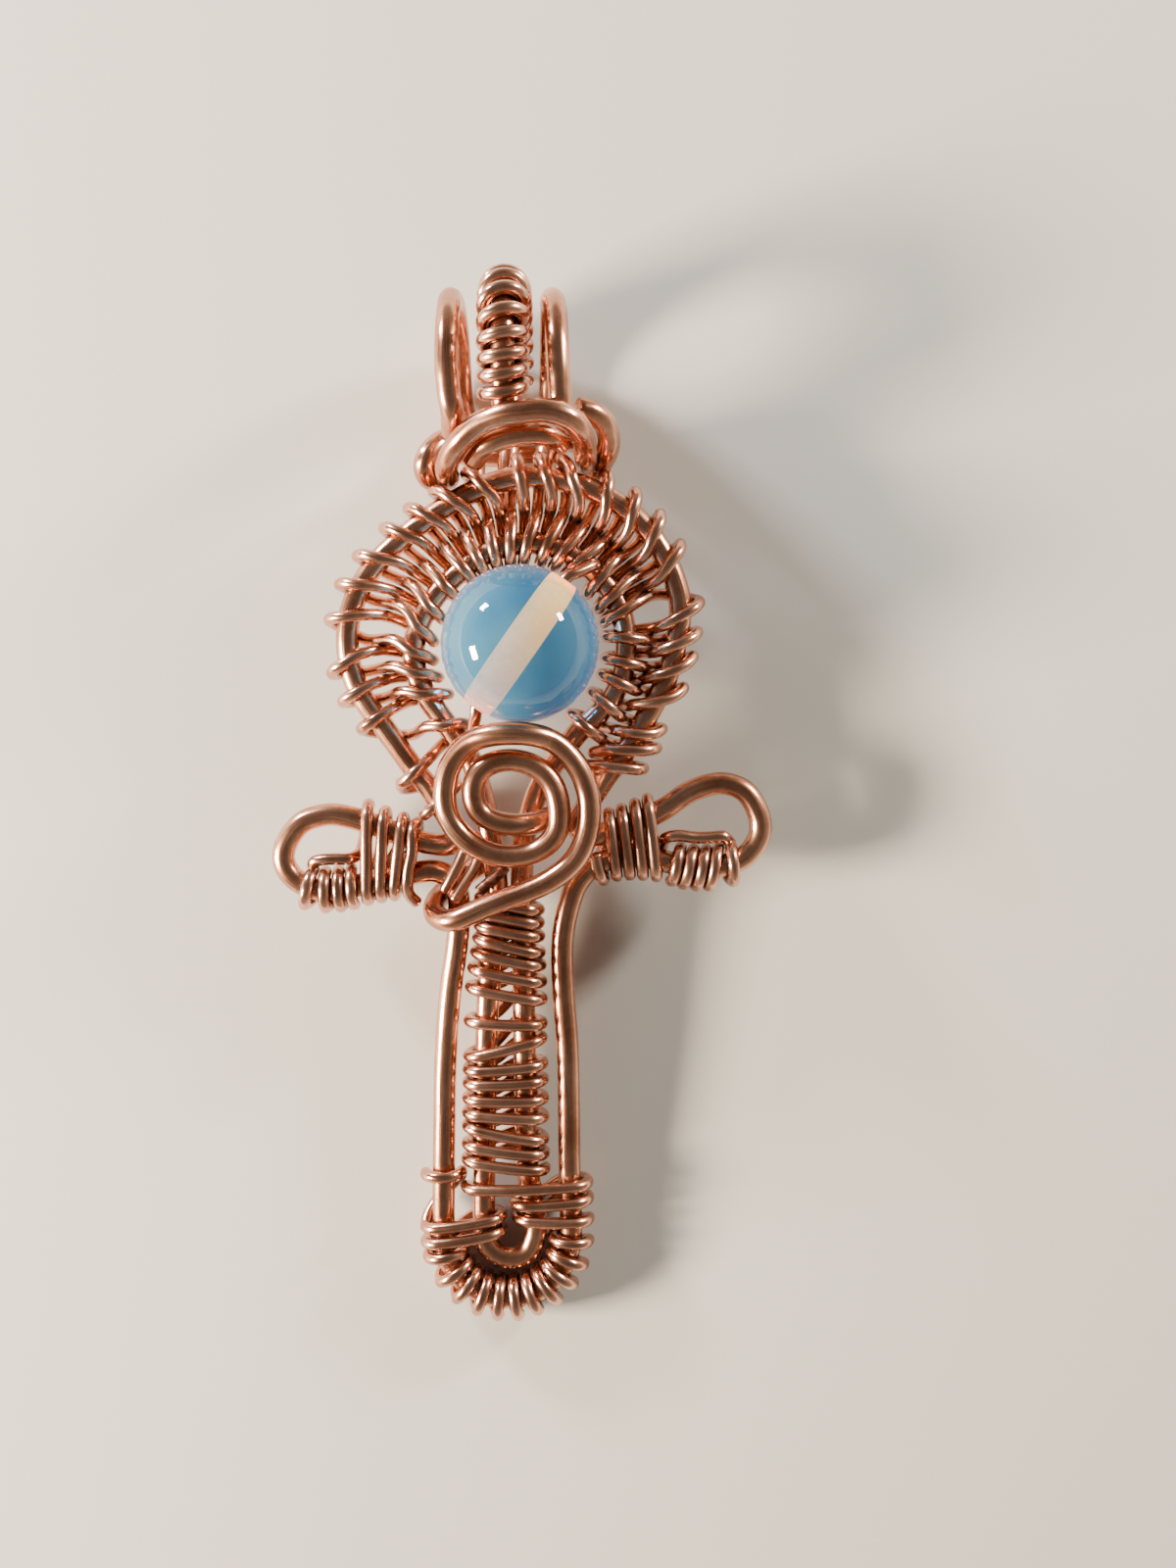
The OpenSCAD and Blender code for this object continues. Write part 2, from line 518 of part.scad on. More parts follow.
function foot_route() = turns(concat(
  [for (r = foot_right_turns) foot_pair(r)],
  [for (r = foot_round_turns) foot_turn(r)],
  [for (i = [0:1]) foot_pair(foot_left_turns[i])],
  [let (r = foot_left_turns[2])
    single(outer_path, [r[0], r[1]], [r[2], r[3]], [-1, 0, 0], [-1, 0, 0])]));
function bead_wire_route() = concat(
  bead_wire_low,
  [for (k = [-1, 0, 1]) bead_centre + k * 3.8 * [cos(bead_hole_angle), sin(bead_hole_angle), 0]],
  [for (r = bead_wire_high) flat(bead_centre) + polar(r[0], r[1]) + [0, 0, r[2]]]);

module outer_frame_wire() {
  color("peru") tube(outer_path, frame_r, frame_sides, true);
}

module inner_frame_wire() {
  color("peru") tube(inner_path, frame_r, frame_sides, true);
}

module spiral_wire() {
  color("peru") tube(open_curve(scroll, bent_step), frame_r, frame_sides);
}

module neck_wrap() {
  color("peru") tube(open_curve(neck, bent_step), frame_r, bail_sides);
}

module bail_left_wire() {
  color("peru") tube(strand(0, bail_left_x), frame_r, bail_sides);
}

module bail_right_wire() {
  color("peru") tube(strand(1, bail_right_x), frame_r, bail_sides);
}

module bail_core_wire() {
  color("peru") tube(open_curve(core_route, bent_step), frame_r, bail_sides);
}

module bail_coil() {
  color("sienna") tube(coil_route(), coil_wire_r, wrap_sides);
}

module halo_weave() {
  color("sienna") tube(weave_route(), wrap_r, wrap_sides);
}

module left_arm_wrap() {
  color("sienna") tube(left_wrap_route(), wrap_r, wrap_sides);
}

module right_arm_wrap() {
  color("sienna") tube(right_wrap_route(), wrap_r, wrap_sides);
}

module shaft_coil() {
  color("sienna") tube(shaft_route(), wrap_r, wrap_sides);
}

module foot_wrap() {
  color("sienna") tube(foot_route(), wrap_r, wrap_sides);
}

module hub_wrap() {
  color("sienna") two_tubes(open_curve(hub_strands[0], 0.7), open_curve(hub_strands[1], 0.7),
    wrap_r, wrap_sides);
}

module bead_wire() {
  color("sienna") tube(open_curve(bead_wire_route(), 4), wrap_r, wrap_sides);
}

module glass_bead() {
  color("lightblue") translate(bead_centre) rotate([0, 0, bead_hole_angle]) difference() {
    sphere(d = bead_d, $fn = 72);
    rotate([0, 90, 0]) cylinder(h = bead_d + 2, d = bead_hole_d, center = true, $fn = 36);
  }
}

module place() {
  translate([shift_x, shift_y, lift]) rotate([tip_angle, 0, 0]) children();
}

place() outer_frame_wire();
place() inner_frame_wire();
place() spiral_wire();
place() neck_wrap();
place() bail_left_wire();
place() bail_right_wire();
place() bail_core_wire();
place() bail_coil();
place() halo_weave();
place() left_arm_wrap();
place() right_arm_wrap();
place() shaft_coil();
place() foot_wrap();
place() hub_wrap();
place() bead_wire();
place() glass_bead();
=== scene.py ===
# Ankh pendant of bent and wrapped copper wire round an opalite bead, lying face up.
# Wires are drawn in body millimetres, as in the part's source: x right, y towards the
# bail, z towards the viewer, z = 0 at the middle of the two flat frame wires. They are
# then tipped and moved to the row frame, in metres.
import math

import bpy
import numpy as np
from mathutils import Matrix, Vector, kdtree


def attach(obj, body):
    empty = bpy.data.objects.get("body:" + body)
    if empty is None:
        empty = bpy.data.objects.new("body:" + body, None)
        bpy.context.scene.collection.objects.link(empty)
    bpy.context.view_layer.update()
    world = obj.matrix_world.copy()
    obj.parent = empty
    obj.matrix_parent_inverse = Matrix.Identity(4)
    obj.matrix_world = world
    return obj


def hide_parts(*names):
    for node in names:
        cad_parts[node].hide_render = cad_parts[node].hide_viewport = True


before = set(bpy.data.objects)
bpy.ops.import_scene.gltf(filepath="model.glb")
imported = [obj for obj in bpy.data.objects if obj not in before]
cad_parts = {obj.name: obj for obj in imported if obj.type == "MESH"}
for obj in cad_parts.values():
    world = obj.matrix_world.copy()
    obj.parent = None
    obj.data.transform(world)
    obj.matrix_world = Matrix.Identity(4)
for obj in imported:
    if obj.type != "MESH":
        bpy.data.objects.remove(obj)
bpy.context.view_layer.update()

MM = 0.001
# Millimetres in a centimetre, the unit of the wires' UV maps and of the patterns
CM = 10

# Tip about the x axis, and the shift to the row frame, mm
TIP_ANGLE = 4.6
SHIFT = (0.072, 0.617, 3.362)

# Radii of the round wires, mm
FRAME_R = 0.58
WRAP_R = 0.31
# From the middle of a frame wire to the middle of the wire on it, mm: pulled tight, and
# left loose in the weave
TIGHT_LAP = 0.93
LOOSE_LAP = 0.99

# Faces round a wire
FRAME_SIDES = 18
WRAP_SIDES = 12
# Longest gap between rings, mm, on frame wire, on wrapping wire and on the wire through the bead
FRAME_STEP = 0.28
WRAP_STEP = 0.17
PIN_STEP = 0.5
# Gap between the points that a turn is seated on, and between those of a lead, mm
SEAT_STEP = 0.05
LEAD_STEP = 0.7
# Points in a quarter turn of wrapping wire
QUARTER = 4
# A turn over two wires nearer than this, mm, is one arch without a straight run
ARCH_REACH = 0.9
# The limit on how steeply the weave crosses the halo's gap, as a cosine
STEEPEST_DROP = 0.9
# Cut ends: length and narrowing of the bevel, as parts of the wire's radius
BEVEL = 0.16
BEVEL_END = 0.84

# How far from the next wire a surface starts to darken, mm, and how far along a wire, in its
# radii, its own next turn counts as another wire
CREVICE_REACH = 0.24
OWN_REACH = 4

# The bead, mm, and the angle of its bore from the x axis, degrees
BEAD_R = 3.9
BORE_R = 0.6
BORE_ANGLE = 55
# Width and depth of the bevel at each mouth, mm
MOUTH_WIDTH = 0.07
MOUTH_DEPTH = 0.12
# Points over the ball from mouth to mouth, points along the bore, and steps round it
BALL_POINTS = 49
BORE_POINTS = 9
BEAD_TURNS = 72
# How far the bead's wire runs straight on each side of the bead's middle, mm
PIN_REACH = 3.8
BEAD_CENTRE = np.array([-0.07, 7.65, 2.0])

# The halo: angle about the bead, radius of the outer frame wire, radius of the inner one
HALO_STEP = 15
HALO = [
    [-60, 8.02, 5.32],
    [-45, 7.48, 5.22],
    [-30, 7.29, 5.29],
    [-15, 7.47, 5.29],
    [0, 7.77, 5.25],
    [15, 8.25, 5.26],
    [30, 8.40, 5.21],
    [45, 8.51, 5.11],
    [60, 8.46, 5.14],
    [75, 8.41, 5.14],
    [90, 8.31, 5.04],
    [105, 8.01, 4.92],
    [120, 7.79, 4.79],
    [135, 7.88, 4.78],
    [150, 8.28, 4.93],
    [165, 8.67, 5.16],
    [180, 8.77, 5.42],
    [195, 8.57, 5.51],
    [210, 8.14, 5.48],
    [225, 8.22, 5.51],
    [240, 8.75, 5.99]
]

# Outer frame wire from the foot up the left leg, round the left arm to the halo: x, y
LEFT_SIDE = [
    [-4.2, -21.9], [-4.17, -19.5], [-4.12, -17], [-4.07, -14.5], [-3.97, -12.5],
    [-3.85, -11], [-3.7, -9.6], [-3.48, -8.2], [-3.34, -7], [-3.3, -6],
    [-3.32, -5.1], [-3.7, -4.25], [-4.5, -3.87], [-5.4, -3.95], [-6.4, -4.2],
    [-7.1, -4.3], [-7.9, -4.45], [-8.8, -4.7], [-9.6, -4.8], [-10.6, -4.8],
    [-11.5, -4.4], [-12.1, -3.7], [-12.2, -2.9], [-11.8, -2.0], [-11.1, -1.3],
    [-9.9, -0.98], [-8.9, -1.1], [-7.9, -1.4], [-7.1, -1.7], [-6.2, -2.03],
    [-5.3, -2.35], [-4.5, -2.5], [-3.75, -2.5], [-3.4, -1.95], [-3.75, -1.3]
]
# and from the halo round the right arm down the right leg: x, y
RIGHT_SIDE = [
    [2.95, -0.95], [2.7, -1.5], [3.15, -2.1], [3.8, -2.02], [4.4, -1.82],
    [5.1, -1.6], [5.8, -1.33], [6.4, -1.1], [7.3, -0.6], [8.3, 0.1],
    [9.3, 0.5], [10.2, 0.6], [11.1, 0.3], [11.7, -0.4], [12.05, -1.4],
    [11.9, -2.3], [11.3, -3.1], [10.5, -3.5], [9.6, -3.68], [8.9, -3.7],
    [8.1, -3.6], [7.3, -3.4], [6.4, -3.2], [5.3, -3.15], [4.4, -3.25],
    [3.5, -3.65], [2.8, -4.4], [2.4, -5.3], [2.05, -6.8], [1.95, -8.3],
    [2.05, -10.6], [2.2, -12.5], [2.27, -14.5], [2.3, -17], [2.33, -19.5],
    [2.4, -21.7]
]
# Middle and radius of the outer foot, and the angles of its points
FOOT_CENTRE = [-0.9, -22.9, 0]
FOOT_R = 3.3
FOOT_ANGLES = range(-5, -176, -17)
# Angle about the bead where the halo starts, and the step and number of its points on the
# outer wire and on the inner one
HALO_START = 238
OUTER_HALO = (7.4, 41)
INNER_HALO = (9.25, 33)

# Inner frame wire from its own foot up to the halo, then down on the right: x, y
INNER_LEFT = [
    [-2.1, -22.3], [-2.1, -20.8], [-2.05, -18.7], [-1.98, -14.6], [-1.9, -11.6],
    [-1.78, -9.6], [-1.55, -8.2], [-1.38, -6.8], [-1.35, -5], [-1.45, -3.6],
    [-1.7, -2], [-1.9, -0.8], [-2.3, 0.75], [-2.65, 1.8]
]
INNER_RIGHT = [
    [2.1, 2.3], [1.2, 1.1], [0.5, -0.4], [0.05, -2.2], [-0.08, -4],
    [-0.12, -5.4], [-0.1, -7], [0, -9.6], [0, -11.6], [0.05, -14.6],
    [0.12, -18.7], [0.32, -20.5], [0.6, -22.2]
]
INNER_FOOT = [
    [0.45, -23.2], [0.05, -23.85], [-0.7, -24.1], [-1.55, -23.82], [-2.03, -23.2]
]

# The scroll, from the end tucked behind the hub to the inner end: x, y, z
SCROLL = [
    [-1.5, -3.3, -1.3], [-2.7, -4.0, -1.32], [-3.9, -4.9, -1.25], [-4.5, -5.5, -0.3],
    [-4.45, -5.95, 0.8], [-3.9, -6.15, 1.6], [-3.3, -6.05, 2.0], [-2.6, -5.75, 2.1],
    [-1.6, -5.3, 2.1], [-0.6, -4.93, 2.1], [0.4, -4.55, 2.15], [1.35, -4.08, 2.2],
    [2.25, -3.42, 2.2], [2.88, -2.6, 2.2], [3.25, -1.6, 2.2], [3.36, -0.62, 2.2],
    [3.26, 0.38, 2.2], [2.9, 1.38, 2.3], [2.27, 2.26, 2.4], [1.5, 2.9, 2.6],
    [0.6, 3.22, 3.0], [-0.5, 3.3, 3.15], [-1.53, 3.2, 2.95], [-2.4, 2.9, 2.55],
    [-3.1, 2.3, 2.3], [-3.6, 1.45, 2.2], [-3.8, 0.5, 2.2], [-3.75, -0.45, 2.2],
    [-3.4, -1.3, 2.2], [-2.8, -2.0, 2.2], [-2.05, -2.5, 2.2], [-1.2, -2.8, 2.2],
    [-0.25, -2.85, 2.2], [0.6, -2.65, 2.2], [1.35, -2.15, 2.3], [1.8, -1.4, 2.35],
    [1.85, -0.45, 2.35], [1.64, 0.5, 2.3], [1.16, 1.25, 2.3], [0.38, 1.77, 2.3],
    [-0.58, 1.95, 2.3], [-1.45, 1.8, 2.3], [-2.1, 1.33, 2.3], [-2.38, 0.6, 2.3],
    [-2.3, -0.2, 2.3], [-1.9, -0.8, 2.25], [-1.2, -1.17, 2.2], [-0.4, -1.3, 2.05],
    [0.35, -1.28, 1.75], [0.95, -1.15, 1.45], [1.5, -1.0, 1.15]
]

# The neck wrap, from the end under the front arch, round the back, the left ear,
# the front arch and the right ear: x, y, z
NECK = [
    [-2.35, 16.6, 1.5], [-1.95, 17.05, 2.1], [-1.45, 17.33, 2.5], [-0.65, 17.61, 2.7],
    [0.19, 17.75, 2.75], [0.95, 17.77, 2.65], [1.55, 17.65, 2.25], [1.98, 17.62, 1.5],
    [2.25, 17.75, 0.5], [2.5, 17.8, -0.8], [2.55, 17.65, -2.4], [1.95, 17.5, -3.6],
    [0.7, 17.45, -4.0], [-1.3, 17.45, -4.0], [-2.8, 17.5, -3.95], [-3.85, 17.65, -3.3],
    [-4.0, 17.85, -2.2], [-3.98, 17.9, -1.1], [-4.2, 17.69, -0.5], [-4.55, 17.3, -0.15],
    [-4.8, 16.85, 0], [-4.9, 16.45, -0.2], [-4.8, 16.08, -0.6], [-4.53, 15.87, -1.08],
    [-4.18, 15.87, -1.3], [-3.85, 15.92, -0.8], [-3.7, 16.0, 0.3], [-3.7, 16.12, 1.2],
    [-3.6, 16.4, 1.9], [-3.3, 16.88, 2.5], [-2.76, 17.48, 3.15], [-1.84, 18.12, 3.7],
    [-0.64, 18.5, 4.22], [0.25, 18.6, 4.35], [0.95, 18.66, 4.4], [1.7, 18.58, 4.3],
    [2.42, 18.32, 4.0], [2.92, 17.88, 3.35], [3.12, 17.36, 2.4], [3.15, 17.0, 1.35],
    [3.17, 16.82, 0.3], [3.17, 16.66, -0.6], [3.4, 16.42, -1.15], [3.72, 16.52, -1.2],
    [4.03, 16.88, -0.9], [4.27, 17.35, -0.3], [4.3, 18.0, 0.2], [4.03, 18.6, 0.8],
    [3.45, 19.0, 1.25], [2.8, 19.12, 1.5]
]

# The bail in side view: two plain strands and the middle one that carries the coil.
# Front end, arc over the top, back end. Plain strands: x on the left, x on the right, y, z
BAIL_FRONT = [
    [-3.26, 1.96, 18.9, 2.95],
    [-3.36, 1.94, 19.4, 3.15],
    [-3.43, 1.92, 20.0, 3.2]
]
# Where the left strand ends, behind the front arch
BAIL_LEFT_END = [-3.3, 17.8, 1.75]
BAIL_BACK = [
    [-3.25, 1.28, 20.0, -4.15],
    [-3.0, 1.25, 19.2, -3.65],
    [-2.8, 1.2, 18.3, -2.9],
    [-2.6, 1.12, 17.3, -2.3],
    [-2.53, 1.08, 16.3, -2.05],
    [-2.53, 1.08, 15.4, -2.0],
    [-2.53, 1.08, 14.9, -2.0]
]
# Arc of the plain strands: middle y and z, radius, then angle and x of each strand
BAIL_CENTRE = [21.0, -0.5]
BAIL_R = 3.72
BAIL_LEFT_X = [[0, -3.5], [90, -3.5], [180, -3.35]]
BAIL_RIGHT_X = [[0, 1.86], [45, 1.7], [90, 1.45], [180, 1.3]]
# Middle strand: gap between the points that the coil is laid on, mm, and x, then y and z from
# the front end over the top to the back end
CORE_STEP = 0.2
CORE_X = -0.79
CORE_LINE = [
    [19.0, 3.05], [19.6, 3.31], [20.6, 3.58], [21.6, 3.7], [22.5, 3.63], [23.3, 3.36],
    [23.98, 2.86], [24.48, 2.2], [24.8, 1.4], [24.95, 0.5], [24.92, -0.5], [24.63, -1.5],
    [24.1, -2.4], [23.4, -3.08], [22.5, -3.58], [21.5, -3.83], [20.6, -3.82], [19.9, -3.68],
    [19.2, -3.38], [18.3, -2.75], [17.3, -2.25], [16.2, -2.05], [14.9, -2.02]
]
# Coil on the middle strand, of a thicker wire: number of the turn, length along the strand
COIL_WIRE_R = 0.34
COIL_LAP = 0.95
COIL_TURNS = [
    [0, 0.45], [1, 1.24], [2, 2.0], [3, 2.79], [4, 3.67], [5, 4.66], [6, 5.65], [7, 6.6],
    [8, 7.46], [9, 8.28], [16, 14.4]
]

# Figure-eight weave of the halo, one row to a lap. Angle of the outer tip, angle
# where it drops into the gap, angle of the tip beside the bead, angle where the
# wire drops back into the gap
WEAVE = [
    [229, 231, 236, 220],
    [208, 206.6, 214.5, 201.4],
    [198, 195.1, 201.8, 190],
    [189, 183.4, 190.5, 178.3],
    [173, 169.5, 178.5, 163.6],
    [162, 158.4, 163, 152.5],
    [152, 146.5, 144.5, 140.5],
    [140, 134, 126.1, 128.2],
    [130, 122.5, 116.5, 116.8],
    [120, 111.1, 107, 105.4],
    [108, 99.9, 97.7, 94.4],
    [91.5, 88.9, 88.5, 83.5],
    [84.5, 78.2, 77, 72.8],
    [77.2, 67.5, 67.5, 62.2],
    [63, 56.9, 57.5, 51.6],
    [53, 46.3, 37, 41],
    [43, 35.7, 24.5, 30.2],
    [32, 25.1, 14.8, 19.7],
    [13.3, 7.1, 5.2, 1.7],
    [4, -3.7, -9.5, -10.6],
    [-4, -16.2, -20.5, -22.3],
    [-15, -29.8, -34.3, -36.2],
    [-31, -42.9, -55, -49.5]
]
# Turns of the same wire round the outer frame wire alone. At the start: x, y, z.
# At the end: angle about the bead, radius, z
WEAVE_START = [
    [-4.98, -0.95, 0.7], [-4.75, -0.75, 0.95], [-4.3, -0.4, 1.06], [-3.75, 0.1, 0.85],
    [-3.4, 0.5, 0.1], [-3.65, 0.7, -0.75], [-4.5, 0.55, -1.05], [-5.5, 0.35, -1.0],
    [-6.15, 0.3, -0.6]
]
WEAVE_END = [
    [-37.5, 8.6, 0], [-39.5, 8.35, 0.72], [-44, 7.65, 1.04], [-50, 6.95, 0.85],
    [-56.5, 6.55, 0.1], [-55, 6.9, -0.72], [-51, 7.75, -1.04], [-47, 8.55, -0.72],
    [-45.5, 8.8, 0], [-47, 8.6, 0.72], [-51, 7.95, 1.04], [-57, 7.3, 0.9],
    [-63, 6.85, 0.1], [-61.5, 7.1, -0.72], [-58, 7.9, -1.04]
]

# Bands on the arms, one row to a turn: x and y on the wire that it crosses first, the lower
# one on the left arm and the upper one on the right arm, then x and y on the other. Each
# band follows a first crossing in front
LEFT_ENTRY = [-5.8, -4.0, -5.52, -2.25]
RIGHT_ENTRY = [3.7, -2.05, 3.94, -3.4]
LEFT_BAND = [
    [-6.45, -4.2, -6.2, -2.0],
    [-7.17, -4.3, -7.03, -1.7],
    [-7.9, -4.45, -7.85, -1.4]
]
# Coils at the ends of the arms: x and y where a turn starts over the front, x and y
# where it ends, and the slant of the turn
LEFT_COIL = [
    [-10.92, -4.78, -11.0, -4.75, -0.2],
    [-10.1, -4.85, -10.05, -4.85, -0.03],
    [-9.4, -4.78, -9.3, -4.78, 0],
    [-8.75, -4.7, -8.6, -4.65, 0]
]
RIGHT_BAND = [
    [4.42, -1.8, 4.62, -3.25],
    [5.1, -1.6, 5.32, -3.15],
    [5.76, -1.35, 6.0, -3.15],
    [6.42, -1.1, 6.68, -3.2]
]
RIGHT_COIL = [
    [10.75, -3.45, 10.5, -3.5, 0.2],
    [9.92, -3.65, 9.4, -3.68, 0],
    [9.3, -3.7, 8.75, -3.68, 0],
    [8.65, -3.68, 8.1, -3.58, 0],
    [8.0, -3.52, 7.47, -3.45, 0]
]
# Shaft coil: height of each turn on the left wire and on the right one
SHAFT_TURNS = [
    [-5.4, -5.65], [-6.08, -6.35], [-6.76, -7.02], [-7.46, -7.8], [-8.14, -8.5], [-9.01, -9.36],
    [-9.96, -10.32], [-11.6, -11.7], [-13.2, -12.7], [-14.05, -13.85], [-14.8, -14.7],
    [-15.6, -15.6], [-16.4, -16.55], [-17.2, -17.6], [-18.1, -18.4], [-18.9, -19.2]
]
# Turns down the right of the foot: x and y on the inner wire, x and y on the outer one
FOOT_RIGHT_TURNS = [
    [-2.08, -20.25, 2.35, -20.05],
    [0.4, -21.05, 2.38, -20.95],
    [0.55, -21.9, 2.4, -21.95]
]
# Turns on the round of the foot: angle of the front crossing at the inner and outer side
FOOT_ROUND_TURNS = [
    [-2, -3], [-18.5, -20.5], [-35, -36], [-51, -52], [-67, -67.5], [-83, -82], [-98.5, -96.5],
    [-114.5, -111.5], [-130.5, -128.5], [-146.5, -145.5], [-162, -166]
]
# Turns up the left of the foot. The last one is round the outer wire alone
FOOT_LEFT_TURNS = [
    [-2.1, -22.67, -4.2, -23.0],
    [-2.1, -21.91, -4.19, -22.25],
    [-4.17, -19.5, -4.17, -19.6]
]

# The same wires before their first turn and between band and coil: x, y, z
LEFT_TAIL = [
    [-5.42, -5.45, 0.3], [-5.77, -5.0, 0.6], [-5.82, -4.4, 0.95], [-5.75, -3.7, 1.04],
    [-5.6, -3.0, 1.05]
]
LEFT_LEAD = [
    [-8.0, -0.62, -0.8], [-8.15, -1.35, -1.07], [-8.2, -2.2, -0.85], [-8.35, -2.95, -0.15],
    [-8.85, -3.19, 0.52], [-9.5, -3.19, 0.57], [-10.1, -3.22, 0.52], [-10.66, -3.4, 0.3]
]
RIGHT_TAIL = [3.65, -2.9, 1.08]
RIGHT_LEAD = [
    [6.85, -4.05, -0.8], [7.0, -3.3, -1.06], [7.08, -2.7, -0.7], [7.25, -2.15, 0.25],
    [7.9, -2.0, 0.55], [8.7, -2.1, 0.5], [9.5, -2.1, 0.45], [10.15, -2.08, 0.38]
]
# Two short strands that bind the hub, and the lower end of the wire through the bead: x, y, z
HUB_STRANDS = [
    [
        [-3.95, -4.75, 0.88], [-3.6, -4.1, 1.02], [-3.1, -3.1, 1.12], [-2.75, -2.3, 1.2],
        [-2.35, -2.0, 1.2], [-2.1, -2.5, 1.2], [-2.35, -3.4, 1.15], [-2.85, -4.25, 1.05],
        [-3.25, -4.9, 1.0], [-3.45, -5.2, 0.95]
    ],
    [
        [-0.9, -3.5, 1.15], [-1.45, -4.1, 1.12], [-1.9, -4.5, 1.1], [-2.2, -4.75, 1.1]
    ]
]
BEAD_WIRE_LOW = [
    [-2.6, 2.0, 1.1], [-2.5, 2.9, 1.25], [-2.4, 3.6, 1.55], [-2.28, 4.1, 1.82]
]
# Angle about the bead, radius, z, where the bead wire leaves over the inner frame wire
BEAD_WIRE_HIGH = [
    [54, 4.15, 1.98], [50.5, 4.6, 1.75], [48, 5.1, 1.4], [46.6, 5.45, 1.08]
]

# The lines that the die leaves on the copper, mm, drawn wider than real ones so that they show
LINE_WIDTH = 0.13
LINE_LENGTH = 4.0
LINE_DEPTH = 0.03
# Grains of each pattern to the centimetre. On the copper, patches of tone 3 mm across and specks
# of tarnish 0.4 mm across. In the bead, clouds 4 mm across, and grit 0.3 mm across on the
# bore's wall, drawn coarser than real grit so that it shows
TONE_PATCHES = 3.3
TARNISH_SPECKS = 24
MILK_CLOUDS = 2.6
BORE_GRIT = 30

# The photograph was taken close up, from straight above a point a little right of the shaft.
# The lens for a 36 mm sensor, the nearest thing it sees, and its place, mm
CAMERA_LENS = 38.44
CAMERA_NEAR = 5
CAMERA_PLACE = (3.352, 1.187, 88.362)
# Side of the floor, mm
FLOOR_SIZE = 1200

UP = np.array([0.0, 0.0, 1.0])
RIGHT = np.array([1.0, 0.0, 0.0])
# Drops the height from a point
FLAT = np.array([1.0, 1.0, 0.0])


def unit(v):
    """The same direction, 1 long."""
    return v / np.linalg.norm(v)


def mix(a, b, t):
    """From a to b by the share t."""
    return a + (b - a) * t


def point(values):
    """A table row as x, y, z, with z = 0 where the row has none."""
    return np.array([*values, 0.0][:3], float)


def polar(angle, radius, height=0.0):
    """The point at an angle in degrees and a radius from the origin, and at a height."""
    turn = math.radians(angle)
    return np.array([math.cos(turn) * radius, math.sin(turn) * radius, height])


def beside_bead(row):
    """The point at an angle about the bead, a radius from its middle and a height."""
    return BEAD_CENTRE * FLAT + polar(*row)


def spline(p, q, r, s, t):
    """Smooth curve from q to r through four neighbours of a table."""
    bend = 2 * p - 5 * q + 4 * r - s
    twist = 3 * q - p - 3 * r + s
    return (2 * q + (r - p) * t + bend * t**2 + twist * t**3) / 2


def open_curve(points, step):
    """A smooth curve through the points, from the first to the last."""
    points = [point(p) for p in points]
    padded = [2 * points[0] - points[1], *points, 2 * points[-1] - points[-2]]
    curve = []
    for p, q, r, s in zip(padded, padded[1:], padded[2:], padded[3:]):
        count = math.ceil(np.linalg.norm(r - q) / step)
        curve += [spline(p, q, r, s, k / count) for k in range(count)]
    return curve + [points[-1]]


def closed_curve(points, step):
    """A smooth closed curve through the points."""
    points = [point(p) for p in points]
    curve = []
    for i, q in enumerate(points):
        p, r, s = points[i - 1], points[(i + 1) % len(points)], points[(i + 2) % len(points)]
        count = math.ceil(np.linalg.norm(r - q) / step)
        curve += [spline(p, q, r, s, k / count) for k in range(count)]
    return curve


def soften(points, step):
    """A smooth curve through bends and straight runs of uneven length, without bulges."""
    points = np.array(points)
    gaps = np.linalg.norm(np.diff(points, axis=0), axis=1)
    slopes = np.diff(points, axis=0) / gaps[:, None]
    share = (gaps[:-1] / (gaps[:-1] + gaps[1:]))[:, None]
    tangents = np.vstack([slopes[:1], slopes[:-1] * (1 - share) + slopes[1:] * share, slopes[-1:]])
    curve = []
    for i, gap in enumerate(gaps):
        count = math.ceil(gap / step)
        for k in range(count):
            t = k / count
            start = points[i] * (2 * t**3 - 3 * t**2 + 1)
            leave = tangents[i] * gap * (t**3 - 2 * t**2 + t)
            end = points[i + 1] * (3 * t**2 - 2 * t**3)
            arrive = tangents[i + 1] * gap * (t**3 - t**2)
            curve.append(start + leave + end + arrive)
    return curve + [points[-1]]


def halo_radius(angle, column):
    """Radius of the halo's outer (1) or inner (2) wire at an angle about the bead."""
    place = (angle - HALO[0][0]) / HALO_STEP
    i = max(0, min(len(HALO) - 2, math.floor(place)))
    rows = [HALO[max(0, i - 1)], HALO[i], HALO[i + 1], HALO[min(len(HALO) - 1, i + 2)]]
    return spline(*[row[column] for row in rows], place - i)


def halo_point(angle, column):
    """A point of the halo's outer (1) or inner (2) wire."""
    return beside_bead([angle, halo_radius(angle, column)])


def halo_points(column, spacing):
    """The halo's outer (1) or inner (2) wire, clockwise from the lower left."""
    step, count = spacing
    return [halo_point(HALO_START - step * k, column) for k in range(count)]


def outer_frame_route():
    """Closed: up the left leg, round the left arm, the halo and the right arm, then down and
    round the foot."""
    foot = [point(FOOT_CENTRE) + polar(angle, FOOT_R) for angle in FOOT_ANGLES]
    return [*LEFT_SIDE, *halo_points(1, OUTER_HALO), *RIGHT_SIDE, *foot]


def inner_frame_route():
    """Closed: up the left of the shaft, round the halo, down the right and round its own foot."""
    return [*INNER_LEFT, *halo_points(2, INNER_HALO), *INNER_RIGHT, *INNER_FOOT]


def nearest(path, target):
    """The point of a closed wire nearest to target."""
    path = np.array(path)
    i = int(np.argmin(np.linalg.norm(path[:, :2] - np.array(target), axis=1)))
    return path[i]


